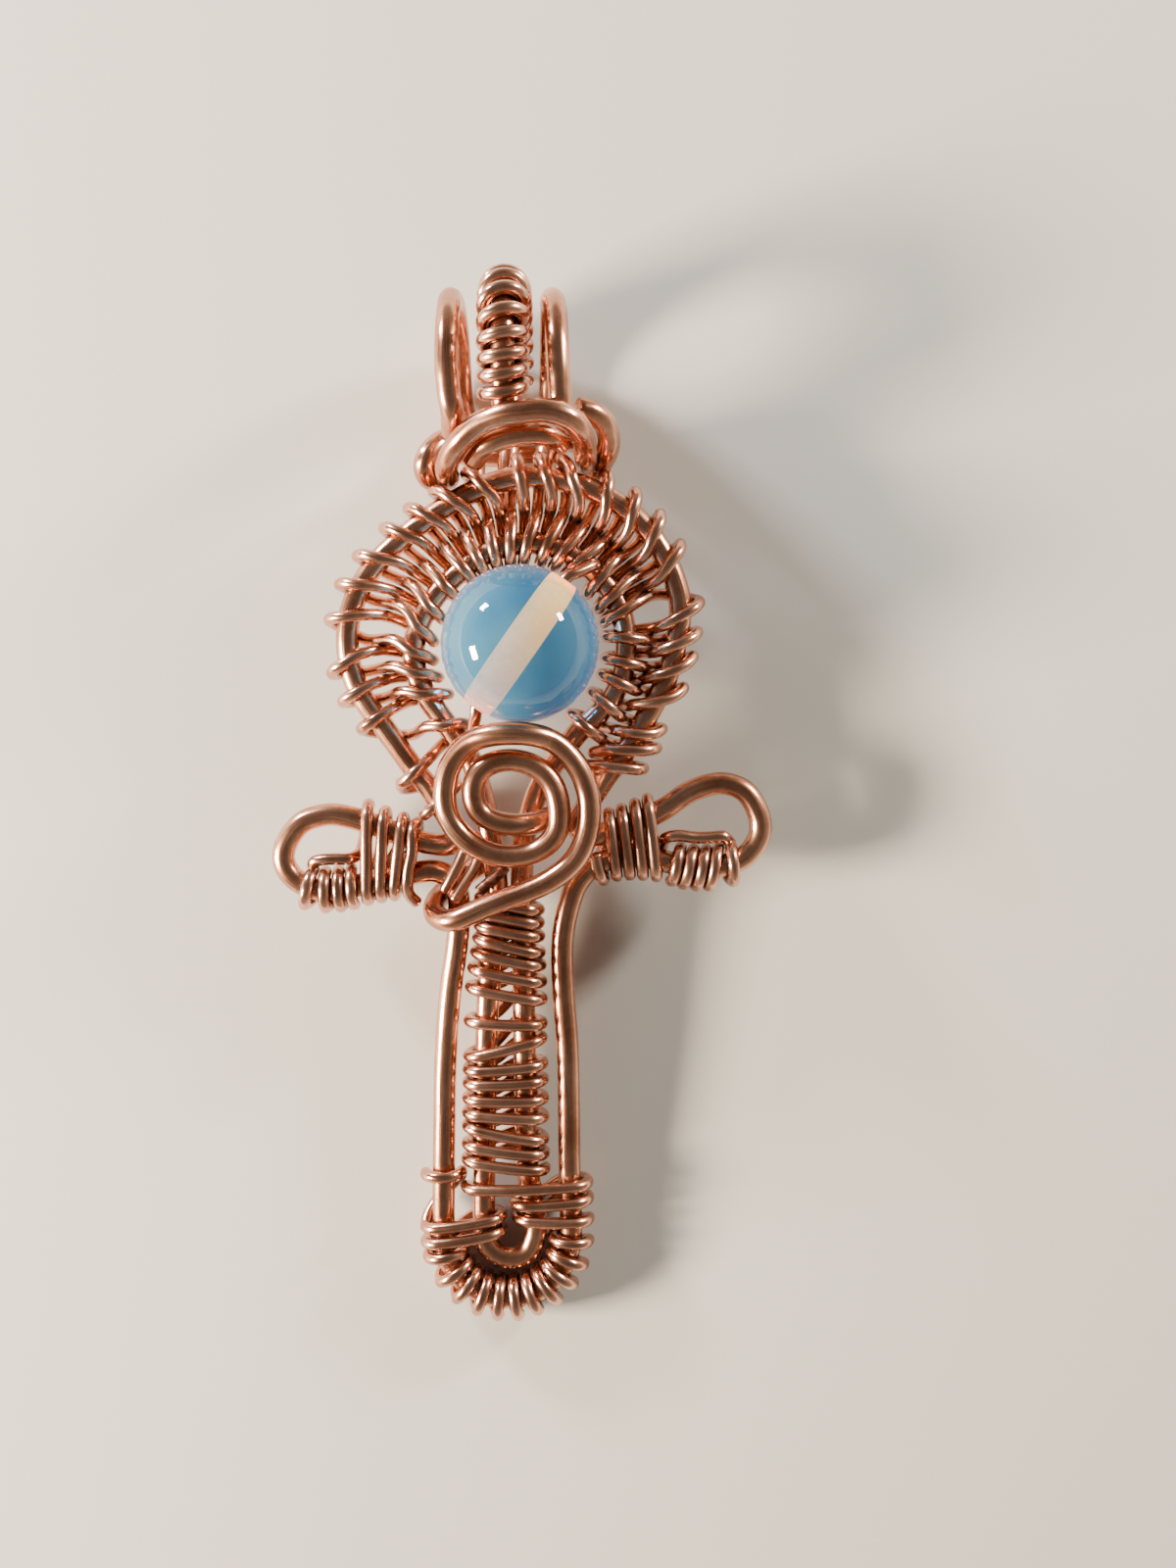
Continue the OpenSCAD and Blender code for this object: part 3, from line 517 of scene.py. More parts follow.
def half_turn(a, b, front, lap):
    """Half a turn from the near side of wire a to the far side of wire b, over the front (1) or
    the back (-1). Each wire is its middle and the direction across it."""
    apart = abs((b[0] - a[0]) @ a[1])
    if apart < ARCH_REACH:
        steps = [k / (2 * QUARTER) for k in range(2 * QUARTER)]
        route = []
        for t in steps:
            out = -math.cos(math.pi * t) * unit(mix(a[1], b[1], t))
            route.append(mix(a[0], b[0], t) + lap * (out + front * math.sin(math.pi * t) * UP))
        return route
    first, last = [], []
    for k in range(QUARTER + 1):
        bend = math.pi / 2 * k / QUARTER
        lift = front * math.sin(bend) * UP
        first.append(a[0] + lap * (-math.cos(bend) * a[1] + lift))
        if k:
            last.append(b[0] + lap * (math.cos(bend) * b[1] + lift))
    return first + last[::-1]


def flip(wire):
    """The same wire, met from its other side."""
    return wire[0], -wire[1]


def behind(a, b, lap):
    """Behind the wires, from the far side of one turn to the near side of the next."""
    return half_turn(flip(a[1]), flip(b[0]), -1, lap)


def coil(crossings, lap=TIGHT_LAP):
    """Many turns, from a list of the first and last wire that each crosses in front."""
    route = []
    for turn, following in zip(crossings, crossings[1:] + [None]):
        route += half_turn(*turn, 1, lap)
        route += behind(turn, following, lap) if following else [turn[1][0] + lap * turn[1][1]]
    return route


def pair(path_a, a, path_b, b):
    """A turn round two wires, through a point of each."""
    first, last = nearest(path_a, a), nearest(path_b, b)
    across = unit(last - first)
    return (first, across), (last, across)


def single(path, a, b, side_a, side_b):
    """A turn round one wire, that starts at one point and ends at another."""
    return (nearest(path, a), unit(side_a)), (nearest(path, b), unit(side_b))


def weave_point(angle, column, around):
    """A point of the weave on a halo wire: around is its angle round that wire, from outside."""
    lift = math.radians(around)
    out = math.cos(lift) * polar(angle, 1) + math.sin(lift) * UP
    return halo_point(angle, column) + LOOSE_LAP * out


def weave_drop(angle):
    """How far round a wire the weave leaves it to cross the gap to the other wire."""
    gap = halo_radius(angle, 1) - halo_radius(angle, 2)
    return math.degrees(math.acos(min(STEEPEST_DROP, 2 * LOOSE_LAP / gap)))


def weave_lap(row, following):
    """One figure-eight: over the outer wire, behind and over the inner one, behind the outer."""
    tip, gap_in, side, gap_out = row
    down, up = weave_drop(gap_in), weave_drop(gap_out)
    return [
        weave_point(tip, 1, 0),
        weave_point(mix(tip, gap_in, 0.25), 1, 45),
        weave_point(mix(tip, gap_in, 0.55), 1, 90),
        weave_point(mix(tip, gap_in, 0.9), 1, 180 - down),
        weave_point(mix(gap_in, side, 0.1), 2, -down),
        weave_point(mix(gap_in, side, 0.4), 2, -90),
        weave_point(mix(gap_in, side, 0.75), 2, -135),
        weave_point(side, 2, 180),
        weave_point(mix(side, gap_out, 0.25), 2, 135),
        weave_point(mix(side, gap_out, 0.55), 2, 90),
        weave_point(mix(side, gap_out, 0.9), 2, up),
        weave_point(mix(gap_out, following, 0.1), 1, 180 + up),
        weave_point(mix(gap_out, following, 0.45), 1, -90),
        weave_point(mix(gap_out, following, 0.8), 1, -45),
    ]


def halo_weave_route():
    """Turns at the lower left, the laps round the halo, and turns at the lower right."""
    tips = [row[0] for row in WEAVE[1:]] + [WEAVE_END[0][0]]
    laps = [p for row, following in zip(WEAVE, tips) for p in weave_lap(row, following)]
    return [point(p) for p in WEAVE_START] + laps + [beside_bead(row) for row in WEAVE_END]


def arc(centre, radius, angle, x):
    """A point of an arc that is seen from the side: angle 0 is its front, 90 its top."""
    turn = math.radians(angle)
    return [x, centre[0] + radius * math.sin(turn), centre[1] + radius * math.cos(turn)]


def bail_strand(side, across):
    """A plain strand of the bail: side 0 is the left one and 1 the right one."""
    front = [[row[side], *row[2:]] for row in BAIL_FRONT]
    back = [[row[side], *row[2:]] for row in BAIL_BACK]
    angles = np.linspace(0, 180, 9)
    over = [arc(BAIL_CENTRE, BAIL_R, a, np.interp(a, *zip(*across))) for a in angles]
    return ([BAIL_LEFT_END] if side == 0 else []) + front + over + back


def bail_core_route():
    """The bail's middle strand, which stays in one plane."""
    return [[CORE_X, *p] for p in CORE_LINE]


def bail_coil_route():
    """Turns about the middle strand, each at its own length along the strand."""
    core = np.array(open_curve(bail_core_route(), CORE_STEP))
    along = np.concatenate([[0], np.cumsum(np.linalg.norm(np.diff(core, axis=0), axis=1))])
    heading = np.gradient(core, axis=0)
    last_turn = COIL_TURNS[-1][0]
    whole = 4 * QUARTER
    route = []
    for k in range(QUARTER, last_turn * whole + 1):
        turn = k / whole
        at = np.interp(turn, *zip(*COIL_TURNS))
        middle = np.array([np.interp(at, along, core[:, c]) for c in range(3)])
        ahead = unit(np.array([np.interp(at, along, heading[:, c]) for c in range(3)]))
        around = math.pi / 2 + 2 * math.pi * turn
        out = math.cos(around) * RIGHT + math.sin(around) * np.cross(ahead, RIGHT)
        route.append(middle + COIL_LAP * out)
    return route


def arm_wrap_route(path, tail, entry, band, lead, end_coil):
    """The band of turns across both sides of an arm, then the coil at its end."""
    crossings = [pair(path, row[:2], path, row[2:]) for row in band]
    ends = []
    for row in end_coil:
        across = np.array([row[4], -1, 0])
        ends.append(single(path, row[:2], row[2:4], across, across))
    start = tail + behind(entry, crossings[0], TIGHT_LAP)
    return start + coil(crossings) + open_curve(lead, LEAD_STEP) + coil(ends)


def left_arm_route(path):
    """The wrap of the left arm: a tail over the front, the band, and the coil at the end."""
    entry = pair(path, LEFT_ENTRY[:2], path, LEFT_ENTRY[2:])
    tail = open_curve(LEFT_TAIL, LEAD_STEP) + [entry[1][0] + TIGHT_LAP * point([0, 0.75, 0.75])]
    return arm_wrap_route(path, tail, entry, LEFT_BAND, LEFT_LEAD, LEFT_COIL)


def right_arm_route(path):
    """The wrap of the right arm: a start beside the hub, the band, and the coil at the end."""
    entry = pair(path, RIGHT_ENTRY[:2], path, RIGHT_ENTRY[2:])
    tail = [point(RIGHT_TAIL), entry[1][0] + TIGHT_LAP * point([0, -0.75, 0.75])]
    return arm_wrap_route(path, tail, entry, RIGHT_BAND, RIGHT_LEAD, RIGHT_COIL)


def shaft_coil_route(path):
    """Turns round both legs of the inner frame wire, down the shaft."""
    return coil([pair(path, [-1.8, left], path, [0.1, right]) for left, right in SHAFT_TURNS])


def foot_coil_route(outer, inner):
    """Down the right of the foot, round it from right to left, and up its left side."""
    turns = [pair(inner, row[:2], outer, row[2:]) for row in FOOT_RIGHT_TURNS]
    for a, b in FOOT_ROUND_TURNS:
        start, end = [point(FOOT_CENTRE) + polar(angle, FOOT_R) for angle in (a, b)]
        turns.append(((start, polar(a, 1)), (end, polar(b, 1))))
    turns += [pair(inner, row[:2], outer, row[2:]) for row in FOOT_LEFT_TURNS[:2]]
    last = FOOT_LEFT_TURNS[2]
    turns.append(single(outer, last[:2], last[2:], -RIGHT, -RIGHT))
    return coil(turns)


def bead_wire_route():
    """From the inner frame wire through the bore, and out over the inner frame wire again."""
    through = [BEAD_CENTRE + polar(BORE_ANGLE, PIN_REACH * k) for k in (-1, 0, 1)]
    return BEAD_WIRE_LOW + through + [beside_bead(row) for row in BEAD_WIRE_HIGH]


def to_frame(points):
    """Body millimetres to the row frame in metres."""
    tip = math.radians(TIP_ANGLE)
    turn = np.array([
        [1, 0, 0],
        [0, math.cos(tip), -math.sin(tip)],
        [0, math.sin(tip), math.cos(tip)],
    ])
    return (np.array(points) @ turn.T + np.array(SHIFT)) * MM


def wire_rings(path, radius, sides, closed):
    """Rings of points round a path, and the length run at each ring. Cut ends have a small
    bevel."""
    path = np.array(path)
    count = len(path)
    if closed:
        heading = np.roll(path, -1, axis=0) - np.roll(path, 1, axis=0)
        ends = np.vstack([path, path[:1]])
    else:
        heading = np.gradient(path, axis=0)
        ends = path
    heading /= np.linalg.norm(heading, axis=1)[:, None]
    run = np.concatenate([[0], np.cumsum(np.linalg.norm(np.diff(ends, axis=0), axis=1))])
    across = UP if abs(heading[0] @ UP) < 0.8 else RIGHT
    rings = []
    around = 2 * np.pi * np.arange(sides) / sides
    for i in range(count):
        start = UP if closed else across
        across = unit(start - (start @ heading[i]) * heading[i])
        upward = np.cross(heading[i], across)
        spokes = np.outer(np.cos(around), across) + np.outer(np.sin(around), upward)
        rings.append((path[i], spokes * radius, heading[i]))
    if not closed:
        first, last = rings[0], rings[-1]
        bevel = BEVEL * radius
        rings.insert(0, (first[0] - first[2] * bevel, first[1] * BEVEL_END, first[2]))
        rings.append((last[0] + last[2] * bevel, last[1] * BEVEL_END, last[2]))
        run = np.concatenate([[0], run + bevel, [run[-1] + 2 * bevel]])
    return [ring[0] + ring[1] for ring in rings], run


def wire_mesh(name, paths, radius, sides, closed=False):
    """One mesh of round wires, with a UV map that runs along each wire (u, in cm) and round it
    (v). Also gives each point's length along its wire, for the crevices."""
    points, faces, corners, runs = [], [], [], []
    for path in paths:
        rings, run = wire_rings(path, radius, sides, closed)
        first = len(points)
        points += [p for ring in rings for p in ring]
        runs += [length for length in run[:len(rings)] for _ in range(sides)]
        spans = len(rings) if closed else len(rings) - 1
        for i in range(spans):
            j = (i + 1) % len(rings)
            for k in range(sides):
                m = (k + 1) % sides
                near, far = first + i * sides, first + j * sides
                faces.append([near + k, near + m, far + m, far + k])
                low, high = run[i] / CM, run[i + 1] / CM
                left, right = k / sides, (k + 1) / sides
                corners += [(low, left), (low, right), (high, right), (high, left)]
        if not closed:
            last = first + (len(rings) - 1) * sides
            faces.append([first + k for k in reversed(range(sides))])
            faces.append([last + k for k in range(sides)])
            corners += [(0.0, 0.5)] * sides + [(run[-1] / CM, 0.5)] * sides
    mesh = bpy.data.meshes.new(name)
    mesh.from_pydata([Vector(p) for p in to_frame(points)], [], faces)
    mesh.update()
    uv = mesh.uv_layers.new(name="wire_run")
    uv.data.foreach_set("uv", np.array(corners, np.float32).ravel())
    mesh.polygons.foreach_set("use_smooth", [len(face) == 4 for face in faces])
    return mesh, np.array(points), runs


def mark_crevices(wires):
    """Gives each point of a wire a value from 0, in the open, to 1, where the next wire or turn
    touches it. Each wire is its mesh, points, lengths along it, centreline and radius."""
    middles = []
    for index, (mesh, points, runs, path, radius, closed) in enumerate(wires):
        steps = np.linalg.norm(np.diff(path, axis=0), axis=1)
        along = np.concatenate([[0], np.cumsum(steps)])
        middles += [(p, index, s, radius) for p, s in zip(path, along)]
    tree = kdtree.KDTree(len(middles))
    for i, (p, index, s, radius) in enumerate(middles):
        tree.insert(p, i)
    tree.balance()
    for index, (mesh, points, runs, path, radius, closed) in enumerate(wires):
        whole = max(runs)
        values = []
        for p, s in zip(points, runs):
            gap = CREVICE_REACH
            for place, i, distance in tree.find_range(p, FRAME_R + CREVICE_REACH):
                other = middles[i]
                apart = abs(other[2] - s)
                if closed:
                    apart = min(apart, whole - apart)
                if other[1] != index or apart > OWN_REACH * radius:
                    gap = min(gap, distance - other[3])
            values.append(1 - max(0.0, gap) / CREVICE_REACH)
        mesh.attributes.new("crevice", "FLOAT", "POINT").data.foreach_set("value", values)


def add_piece(name, mesh, material, node):
    """A visible piece that rides on the rigid body and stands for its CAD node."""
    piece = bpy.data.objects.new(name, mesh)
    bpy.context.scene.collection.objects.link(piece)
    mesh.materials.append(material)
    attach(piece, "root")
    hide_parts(node)
    return piece


def srgb(code):
    """An sRGB hex colour as linear RGBA."""
    parts = [int(code[i:i + 2], 16) / 255 for i in (1, 3, 5)]
    return [c / 12.92 if c <= 0.04045 else ((c + 0.055) / 1.055) ** 2.4 for c in parts] + [1.0]


def new_material(name):
    """A material with no nodes yet."""
    material = bpy.data.materials.new(name)
    material.use_nodes = True
    material.node_tree.nodes.clear()
    return material


def add_node(material, kind, settings=None, inputs=None):
    """A shader node with its settings (a ramp's colour stops are one of them), and its sockets set
    to a value or linked from another socket."""
    made = material.node_tree.nodes.new(kind)
    for key, value in (settings or {}).items():
        if key != "stops":
            setattr(made, key, value)
            continue
        for spare in range(len(value) - 2):
            made.color_ramp.elements.new(0.5)
        for element, (position, colour) in zip(made.color_ramp.elements, value):
            element.position, element.color = position, colour
    for key, value in (inputs or {}).items():
        if isinstance(value, bpy.types.NodeSocket):
            material.node_tree.links.new(value, made.inputs[key])
        else:
            made.inputs[key].default_value = value
    return made


def grains(count):
    """The scale of a noise pattern with this many grains to the centimetre."""
    return count / (CM * MM)


def drawn_copper(name, radius, fresh, toned, crevice, roughness):
    """Bare copper wire, drawn through a die and bent with smooth pliers: a warm semi-gloss metal
    with faint lines along it, a little uneven in tone, and browner where turns touch, from tarnish
    and painted shade."""
    material = new_material(name)
    run = add_node(material, "ShaderNodeUVMap", {"uv_map": "wire_run"})
    parts = add_node(material, "ShaderNodeSeparateXYZ", inputs={0: run.outputs["UV"]})
    turn = add_node(material, "ShaderNodeMath", {"operation": "MULTIPLY"},
                    {0: parts.outputs["Y"], 1: 2 * math.pi}).outputs[0]
    cosine = add_node(material, "ShaderNodeMath", {"operation": "COSINE"}, {0: turn}).outputs[0]
    sine = add_node(material, "ShaderNodeMath", {"operation": "SINE"}, {0: turn}).outputs[0]
    along = add_node(material, "ShaderNodeMath", {"operation": "MULTIPLY"},
                     {0: parts.outputs["X"], 1: CM / LINE_LENGTH}).outputs[0]
    round_wire = add_node(material, "ShaderNodeCombineXYZ",
                          inputs={"X": along, "Y": cosine, "Z": sine})
    lines_round = radius / LINE_WIDTH
    stretch = add_node(material, "ShaderNodeVectorMath", {"operation": "MULTIPLY"},
                       {0: round_wire.outputs[0], 1: (1.0, lines_round, lines_round)})
    lines = add_node(material, "ShaderNodeTexNoise", {"noise_dimensions": "3D"},
                     {"Vector": stretch.outputs[0], "Scale": 1.0, "Detail": 3.0,
                      "Roughness": 0.6})
    place = add_node(material, "ShaderNodeTexCoord").outputs["Object"]
    patches = add_node(material, "ShaderNodeTexNoise",
                       inputs={"Vector": place, "Scale": grains(TONE_PATCHES), "Detail": 2.0})
    specks = add_node(material, "ShaderNodeTexNoise",
                      inputs={"Vector": place, "Scale": grains(TARNISH_SPECKS), "Detail": 4.0,
                              "Roughness": 0.65})
    tone = add_node(material, "ShaderNodeMath", {"operation": "MULTIPLY_ADD"},
                    {0: specks.outputs["Fac"], 1: 0.45, 2: patches.outputs["Fac"]}).outputs[0]
    metal = add_node(material, "ShaderNodeValToRGB",
                     {"stops": [(0.50, srgb(fresh)), (0.95, srgb(toned))]},
                     {"Fac": tone}).outputs["Color"]
    # Where turns touch the copper is darkened, partly by tarnish, which is thinner between its
    # specks, and partly by painted shade between the wires
    near = add_node(material, "ShaderNodeAttribute", {"attribute_name": "crevice"}).outputs["Fac"]
    cover = add_node(material, "ShaderNodeMapRange",
                     inputs={"Value": specks.outputs["Fac"], "From Min": 0.3, "From Max": 0.6,
                             "To Min": 0.55, "To Max": 1.0}).outputs[0]
    tarnish_and_painted_shade = add_node(material, "ShaderNodeMath", {"operation": "MULTIPLY", "use_clamp": True},
                     {0: near, 1: cover}).outputs[0]
    colour = add_node(material, "ShaderNodeMix", {"data_type": "RGBA"},
                      {"Factor": tarnish_and_painted_shade, "A": metal, "B": srgb(crevice)})
    worn = add_node(material, "ShaderNodeMapRange",
                    inputs={"Value": lines.outputs["Fac"], "From Min": 0.3, "From Max": 0.7,
                            "To Min": roughness - 0.06, "To Max": roughness + 0.09}).outputs[0]
    rough = add_node(material, "ShaderNodeMath",
                     {"operation": "MULTIPLY_ADD", "use_clamp": True},
                     {0: tarnish_and_painted_shade, 1: 0.22, 2: worn}).outputs[0]
    relief = add_node(material, "ShaderNodeMath", {"operation": "MULTIPLY_ADD"},
                      {0: specks.outputs["Fac"], 1: 0.5, 2: lines.outputs["Fac"]}).outputs[0]
    bump = add_node(material, "ShaderNodeBump",
                    inputs={"Height": relief, "Strength": 0.35, "Distance": LINE_DEPTH * MM})
    shader = add_node(material, "ShaderNodeBsdfPrincipled",
                      inputs={"Base Color": colour.outputs["Result"], "Metallic": 1.0,
                              "Roughness": rough, "Normal": bump.outputs[0]})
    add_node(material, "ShaderNodeOutputMaterial", inputs={"Surface": shader.outputs[0]})
    return material


def opalite(name):
    """Opalite, a man-made milky glass, tumbled and polished: blue where it scatters light, with a
    sharp gloss. A soft glow is painted in for that scattered light, and the pale lilac edge is a
    painted sheen."""
    material = new_material(name)
    place = add_node(material, "ShaderNodeTexCoord").outputs["Object"]
    cloud = add_node(material, "ShaderNodeTexNoise",
                     inputs={"Vector": place, "Scale": grains(MILK_CLOUDS), "Detail": 2.0})
    milk = add_node(material, "ShaderNodeValToRGB",
                    {"stops": [(0.35, srgb("#468FBA")), (0.65, srgb("#64A6C4"))]},
                    {"Fac": cloud.outputs["Fac"]}).outputs["Color"]
    # The pale lilac edge is a painted sheen, mixed into the colour where the surface turns away
    edge = add_node(material, "ShaderNodeLayerWeight", inputs={"Blend": 0.35})
    painted_edge_sheen = add_node(material, "ShaderNodeValToRGB",
                   {"stops": [(0.42, srgb("#000000")), (0.95, srgb("#FFFFFF"))]},
                   {"Fac": edge.outputs["Facing"]}).outputs["Color"]
    colour = add_node(material, "ShaderNodeMix", {"data_type": "RGBA"},
                      {"Factor": painted_edge_sheen, "A": milk, "B": srgb("#B6BEDC")}).outputs["Result"]
    # The emission is a painted glow standing in for light scattered in the glass, lilac edge too
    shader = add_node(material, "ShaderNodeBsdfPrincipled",
                      inputs={"Base Color": colour, "Roughness": 0.04, "IOR": 1.47,
                              "Transmission Weight": 0.72, "Emission Color": colour,
                              "Emission Strength": 0.09})
    depth = add_node(material, "ShaderNodeVolumeAbsorption",
                     inputs={"Color": srgb("#6DB4DE"), "Density": 300.0})
    add_node(material, "ShaderNodeOutputMaterial",
             inputs={"Surface": shader.outputs[0], "Volume": depth.outputs[0]})
    return material


def frosted_bore(name):
    """The drilled wall of the bore: ground glass, left matt and creamy. Milky glass passes on warm
    light, and this is painted on the wall as a deep orange glow, which is seen through the blue
    glass as cream, and more golden towards the upper mouth."""
    material = new_material(name)
    place = add_node(material, "ShaderNodeTexCoord").outputs["Object"]
    bore = math.radians(BORE_ANGLE)
    reach = BEAD_R * MM
    ahead = (math.cos(bore) / reach, math.sin(bore) / reach, 0.0)
    from_middle = add_node(material, "ShaderNodeVectorMath", {"operation": "SUBTRACT"},
                           {0: place, 1: tuple(to_frame([BEAD_CENTRE])[0])}).outputs[0]
    along = add_node(material, "ShaderNodeVectorMath", {"operation": "DOT_PRODUCT"},
                     {0: from_middle, 1: ahead}).outputs["Value"]
    end = add_node(material, "ShaderNodeMapRange",
                   inputs={"Value": along, "From Min": -0.7, "From Max": 0.8}).outputs[0]
    # Painted glow of the wall in place of light passed on by the glass, more golden up the bore
    painted_bore_glow = add_node(material, "ShaderNodeValToRGB",
                    {"stops": [(0.1, srgb("#BC4F28")), (1.0, srgb("#FF7C12"))]},
                    {"Fac": end}).outputs["Color"]
    grit = add_node(material, "ShaderNodeTexNoise",
                    inputs={"Vector": place, "Scale": grains(BORE_GRIT), "Detail": 3.0})
    cream = add_node(material, "ShaderNodeValToRGB",
                     {"stops": [(0.3, srgb("#C29660")), (0.7, srgb("#E0BC84"))]},
                     {"Fac": grit.outputs["Fac"]}).outputs["Color"]
    shader = add_node(material, "ShaderNodeBsdfPrincipled",
                      inputs={"Base Color": cream, "Roughness": 0.7, "Emission Color": painted_bore_glow,
                              "Emission Strength": 16.0})
    add_node(material, "ShaderNodeOutputMaterial", inputs={"Surface": shader.outputs[0]})
    return material


def plain_floor(name):
    """A matt pale studio board."""
    material = new_material(name)
    shader = add_node(material, "ShaderNodeBsdfPrincipled",
                      inputs={"Base Color": srgb("#BDBCB9"), "Roughness": 0.85,
                              "Specular IOR Level": 0.2})
    add_node(material, "ShaderNodeOutputMaterial", inputs={"Surface": shader.outputs[0]})
    return material


def bead_mesh(name):
    """A drilled ball: its profile is turned round the bore, with a small bevel at each mouth."""
    mouth = math.asin((BORE_R + MOUTH_WIDTH) / BEAD_R)
    angles = np.degrees(np.linspace(mouth, math.pi - mouth, BALL_POINTS))
    outside = [polar(angle, BEAD_R) for angle in angles]
    inner_end = BEAD_R * math.cos(mouth) - MOUTH_DEPTH
    inside = [point([x, BORE_R]) for x in np.linspace(-inner_end, inner_end, BORE_POINTS)]
    profile = outside + inside
    ahead, side = polar(BORE_ANGLE, 1), polar(BORE_ANGLE + 90, 1)
    points = []
    for k in range(BEAD_TURNS):
        turn = 2 * math.pi * k / BEAD_TURNS
        out = math.cos(turn) * side + math.sin(turn) * UP
        points += [BEAD_CENTRE + p[0] * ahead + p[1] * out for p in profile]
    rows = len(profile)
    faces = []
    for k in range(BEAD_TURNS):
        m = (k + 1) % BEAD_TURNS
        for i in range(rows):
            j = (i + 1) % rows
            faces.append([k * rows + i, k * rows + j, m * rows + j, m * rows + i])
    mesh = bpy.data.meshes.new(name)
    mesh.from_pydata([Vector(p) for p in to_frame(points)], [], faces)
    mesh.update()
    mesh.polygons.foreach_set("use_smooth", [True] * len(faces))
    in_bore = [int(len(outside) <= i % rows < rows - 1) for i in range(len(faces))]
    mesh.polygons.foreach_set("material_index", in_bore)
    return mesh


def area_light(name, place, size, watts, colour):
    """A soft box at a place in mm, of a size in mm, that faces the middle of the pendant."""
    light = bpy.data.lights.new(name, "AREA")
    light.shape = "RECTANGLE"
    light.size, light.size_y = [side * MM for side in size]
    light.energy = watts
    light.color = srgb(colour)[:3]
    lamp = bpy.data.objects.new(name, light)
    bpy.context.scene.collection.objects.link(lamp)
    lamp.location = Vector(place) * MM
    lamp.rotation_euler = (-lamp.location).to_track_quat("-Z", "Y").to_euler()


camera = bpy.data.cameras.new("camera")
camera.lens = CAMERA_LENS
camera.clip_start = CAMERA_NEAR * MM
camera_object = bpy.data.objects.new("camera", camera)
camera_object.location = [value * MM for value in CAMERA_PLACE]
bpy.context.scene.collection.objects.link(camera_object)
bpy.context.scene.camera = camera_object

# Fresh metal, toned metal, metal where turns touch (tarnish and painted shade), and roughness
frame_copper = drawn_copper("drawn_copper_frame_wire", FRAME_R,
                            "#E6AD90", "#B87C60", "#3E241C", 0.21)
wrap_copper = drawn_copper("drawn_copper_wrapping_wire", WRAP_R,
                           "#EAB59C", "#C0866C", "#4A2A22", 0.2)
milky_glass = opalite("polished_opalite")
bore_wall = frosted_bore("ground_bore_wall")

# The frame wires as the turns are seated on them
outer_seat = closed_curve(outer_frame_route(), SEAT_STEP)
inner_seat = closed_curve(inner_frame_route(), SEAT_STEP)

# Piece, CAD node and route of the closed frame wires, and of the open ones
CLOSED_WIRES = [
    ("outer_frame", "outer_frame_wire", outer_frame_route()),
    ("inner_frame", "inner_frame_wire", inner_frame_route()),
]
OPEN_WIRES = [
    ("hub_scroll", "spiral_wire", SCROLL),
    ("neck_turns", "neck_wrap", NECK),
    ("bail_left_strand", "bail_left_wire", bail_strand(0, BAIL_LEFT_X)),
    ("bail_right_strand", "bail_right_wire", bail_strand(1, BAIL_RIGHT_X)),
    ("bail_middle_strand", "bail_core_wire", bail_core_route()),
]
# Piece, CAD node, route and radius of the wires that are wound in turns
WOUND_WIRES = [
    ("bail_coil_turns", "bail_coil", bail_coil_route(), COIL_WIRE_R),
    ("halo_weave_laps", "halo_weave", halo_weave_route(), WRAP_R),
    ("left_arm_turns", "left_arm_wrap", left_arm_route(outer_seat), WRAP_R),
    ("right_arm_turns", "right_arm_wrap", right_arm_route(outer_seat), WRAP_R),
    ("shaft_turns", "shaft_coil", shaft_coil_route(inner_seat), WRAP_R),
    ("foot_turns", "foot_wrap", foot_coil_route(outer_seat, inner_seat), WRAP_R),
]

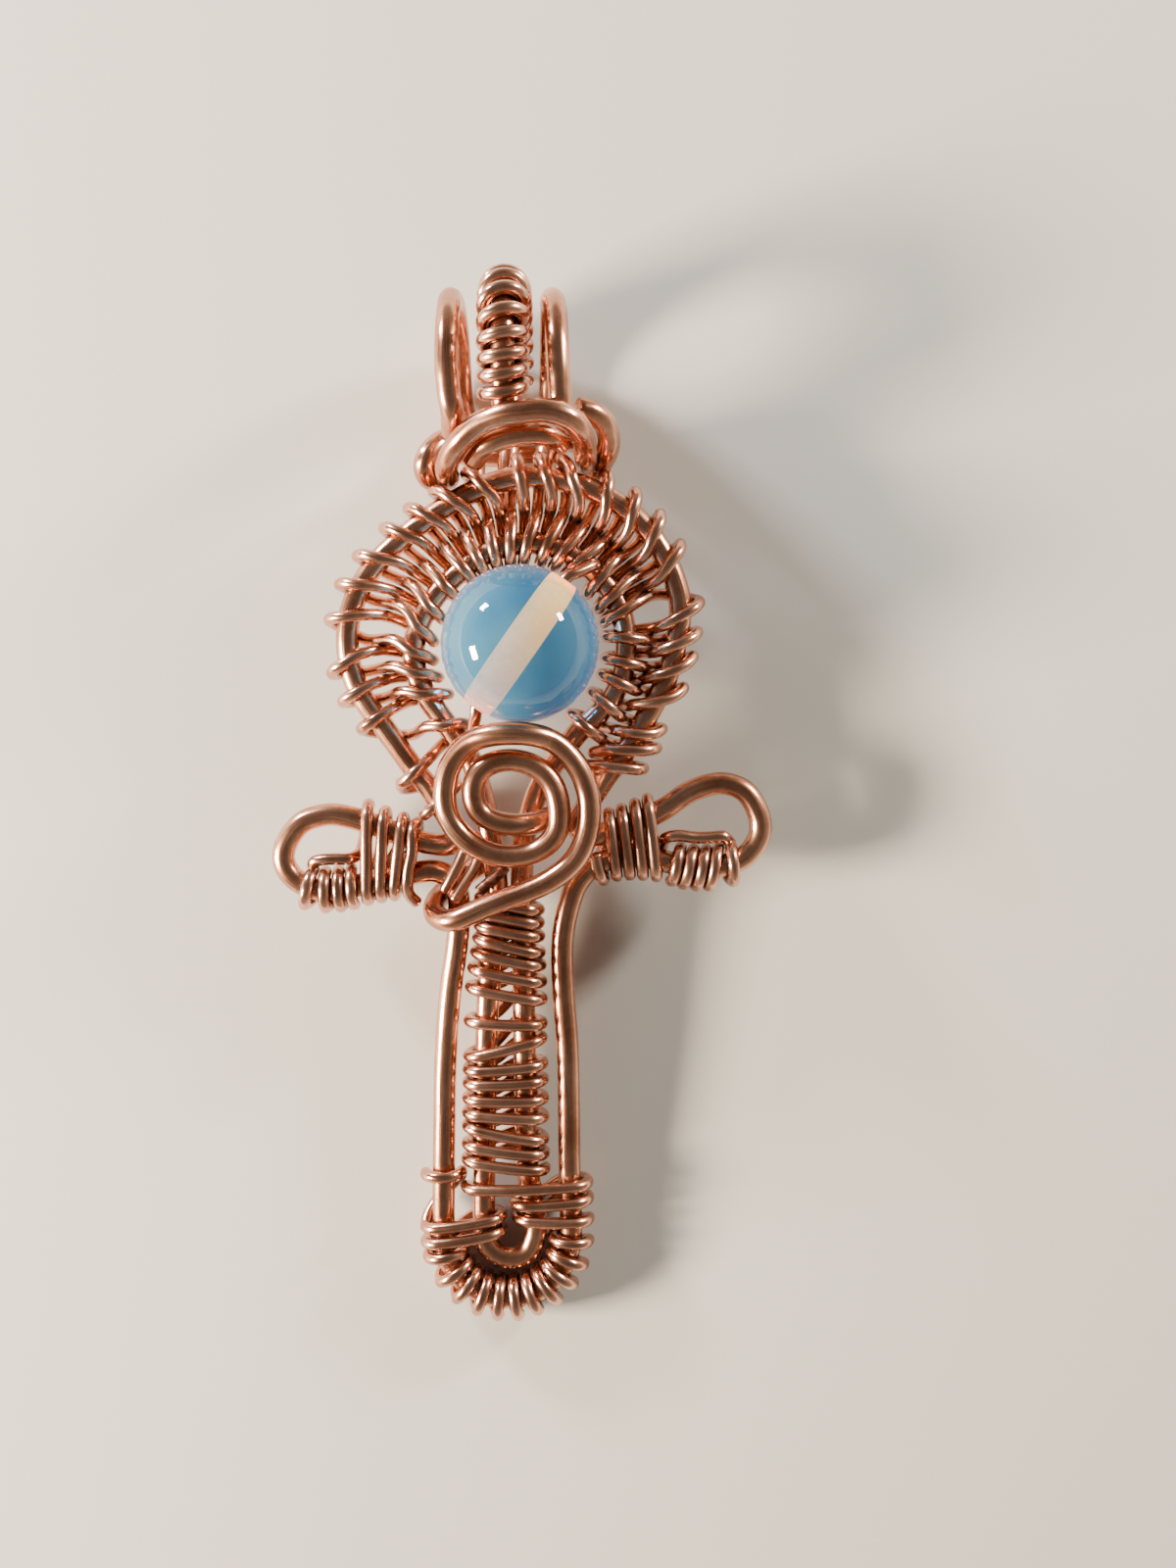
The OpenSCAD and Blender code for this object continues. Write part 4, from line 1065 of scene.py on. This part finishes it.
# Piece, CAD node, smooth centrelines, radius, whether it is closed
smooth_wires = []
for name, node, route in CLOSED_WIRES:
    smooth_wires.append((name, node, [closed_curve(route, FRAME_STEP)], FRAME_R, True))
for name, node, route in OPEN_WIRES:
    smooth_wires.append((name, node, [open_curve(route, FRAME_STEP)], FRAME_R, False))
for name, node, route, radius in WOUND_WIRES:
    smooth_wires.append((name, node, [soften(route, WRAP_STEP)], radius, False))
hub_strands = [open_curve(strand, WRAP_STEP) for strand in HUB_STRANDS]
smooth_wires.append(("hub_strand_pair", "hub_wrap", hub_strands, WRAP_R, False))
bead_pin = [open_curve(bead_wire_route(), PIN_STEP)]
smooth_wires.append(("bead_pin", "bead_wire", bead_pin, WRAP_R, False))

made_wires = []
for name, node, paths, radius, closed in smooth_wires:
    thick = radius == FRAME_R
    sides = FRAME_SIDES if thick else WRAP_SIDES
    mesh, points, runs = wire_mesh(name, paths, radius, sides, closed)
    material, slot = (frame_copper, "frame_wire") if thick else (wrap_copper, "wrap_wire")
    add_piece(name, mesh, material, node)
    made_wires.append((mesh, points, runs, np.vstack(paths), radius, closed))
mark_crevices(made_wires)

bead = add_piece("opalite_bead", bead_mesh("opalite_bead"), milky_glass, "glass_bead")
bead.data.materials.append(bore_wall)

half = FLOOR_SIZE / 2 * MM
board = [(-half, -half, 0), (half, -half, 0), (half, half, 0), (-half, half, 0)]
floor_mesh = bpy.data.meshes.new("floor")
floor_mesh.from_pydata(board, [], [[0, 1, 2, 3]])
floor_mesh.materials.append(plain_floor("pale_board"))
floor = bpy.data.objects.new("floor", floor_mesh)
bpy.context.scene.collection.objects.link(floor)

# A warm key light low on the left, and two smaller windows: place, size, watts, colour
area_light("key_left", (-210, -40, 85), (64, 40), 3.6, "#FFE8CC")
area_light("window_far_left", (-150, 160, 70), (34, 28), 0.9, "#FFFFFF")
area_light("window_right", (175, 120, 70), (34, 28), 0.9, "#FFF2E0")

# The room is bright low down all round, and dimmer straight above
world = bpy.data.worlds.new("studio")
bpy.context.scene.world = world
world.use_nodes = True
sky = add_node(world, "ShaderNodeTexCoord").outputs["Generated"]
sky_height = add_node(world, "ShaderNodeSeparateXYZ", inputs={0: sky}).outputs["Z"]
room = [(0.0, srgb("#D8CDBE")), (0.35, srgb("#B9AE9E")), (0.8, srgb("#726E69"))]
shade = add_node(world, "ShaderNodeValToRGB", {"stops": room}, {"Fac": sky_height})
background = world.node_tree.nodes["Background"]
world.node_tree.links.new(shade.outputs["Color"], background.inputs["Color"])
background.inputs["Strength"].default_value = 0.8
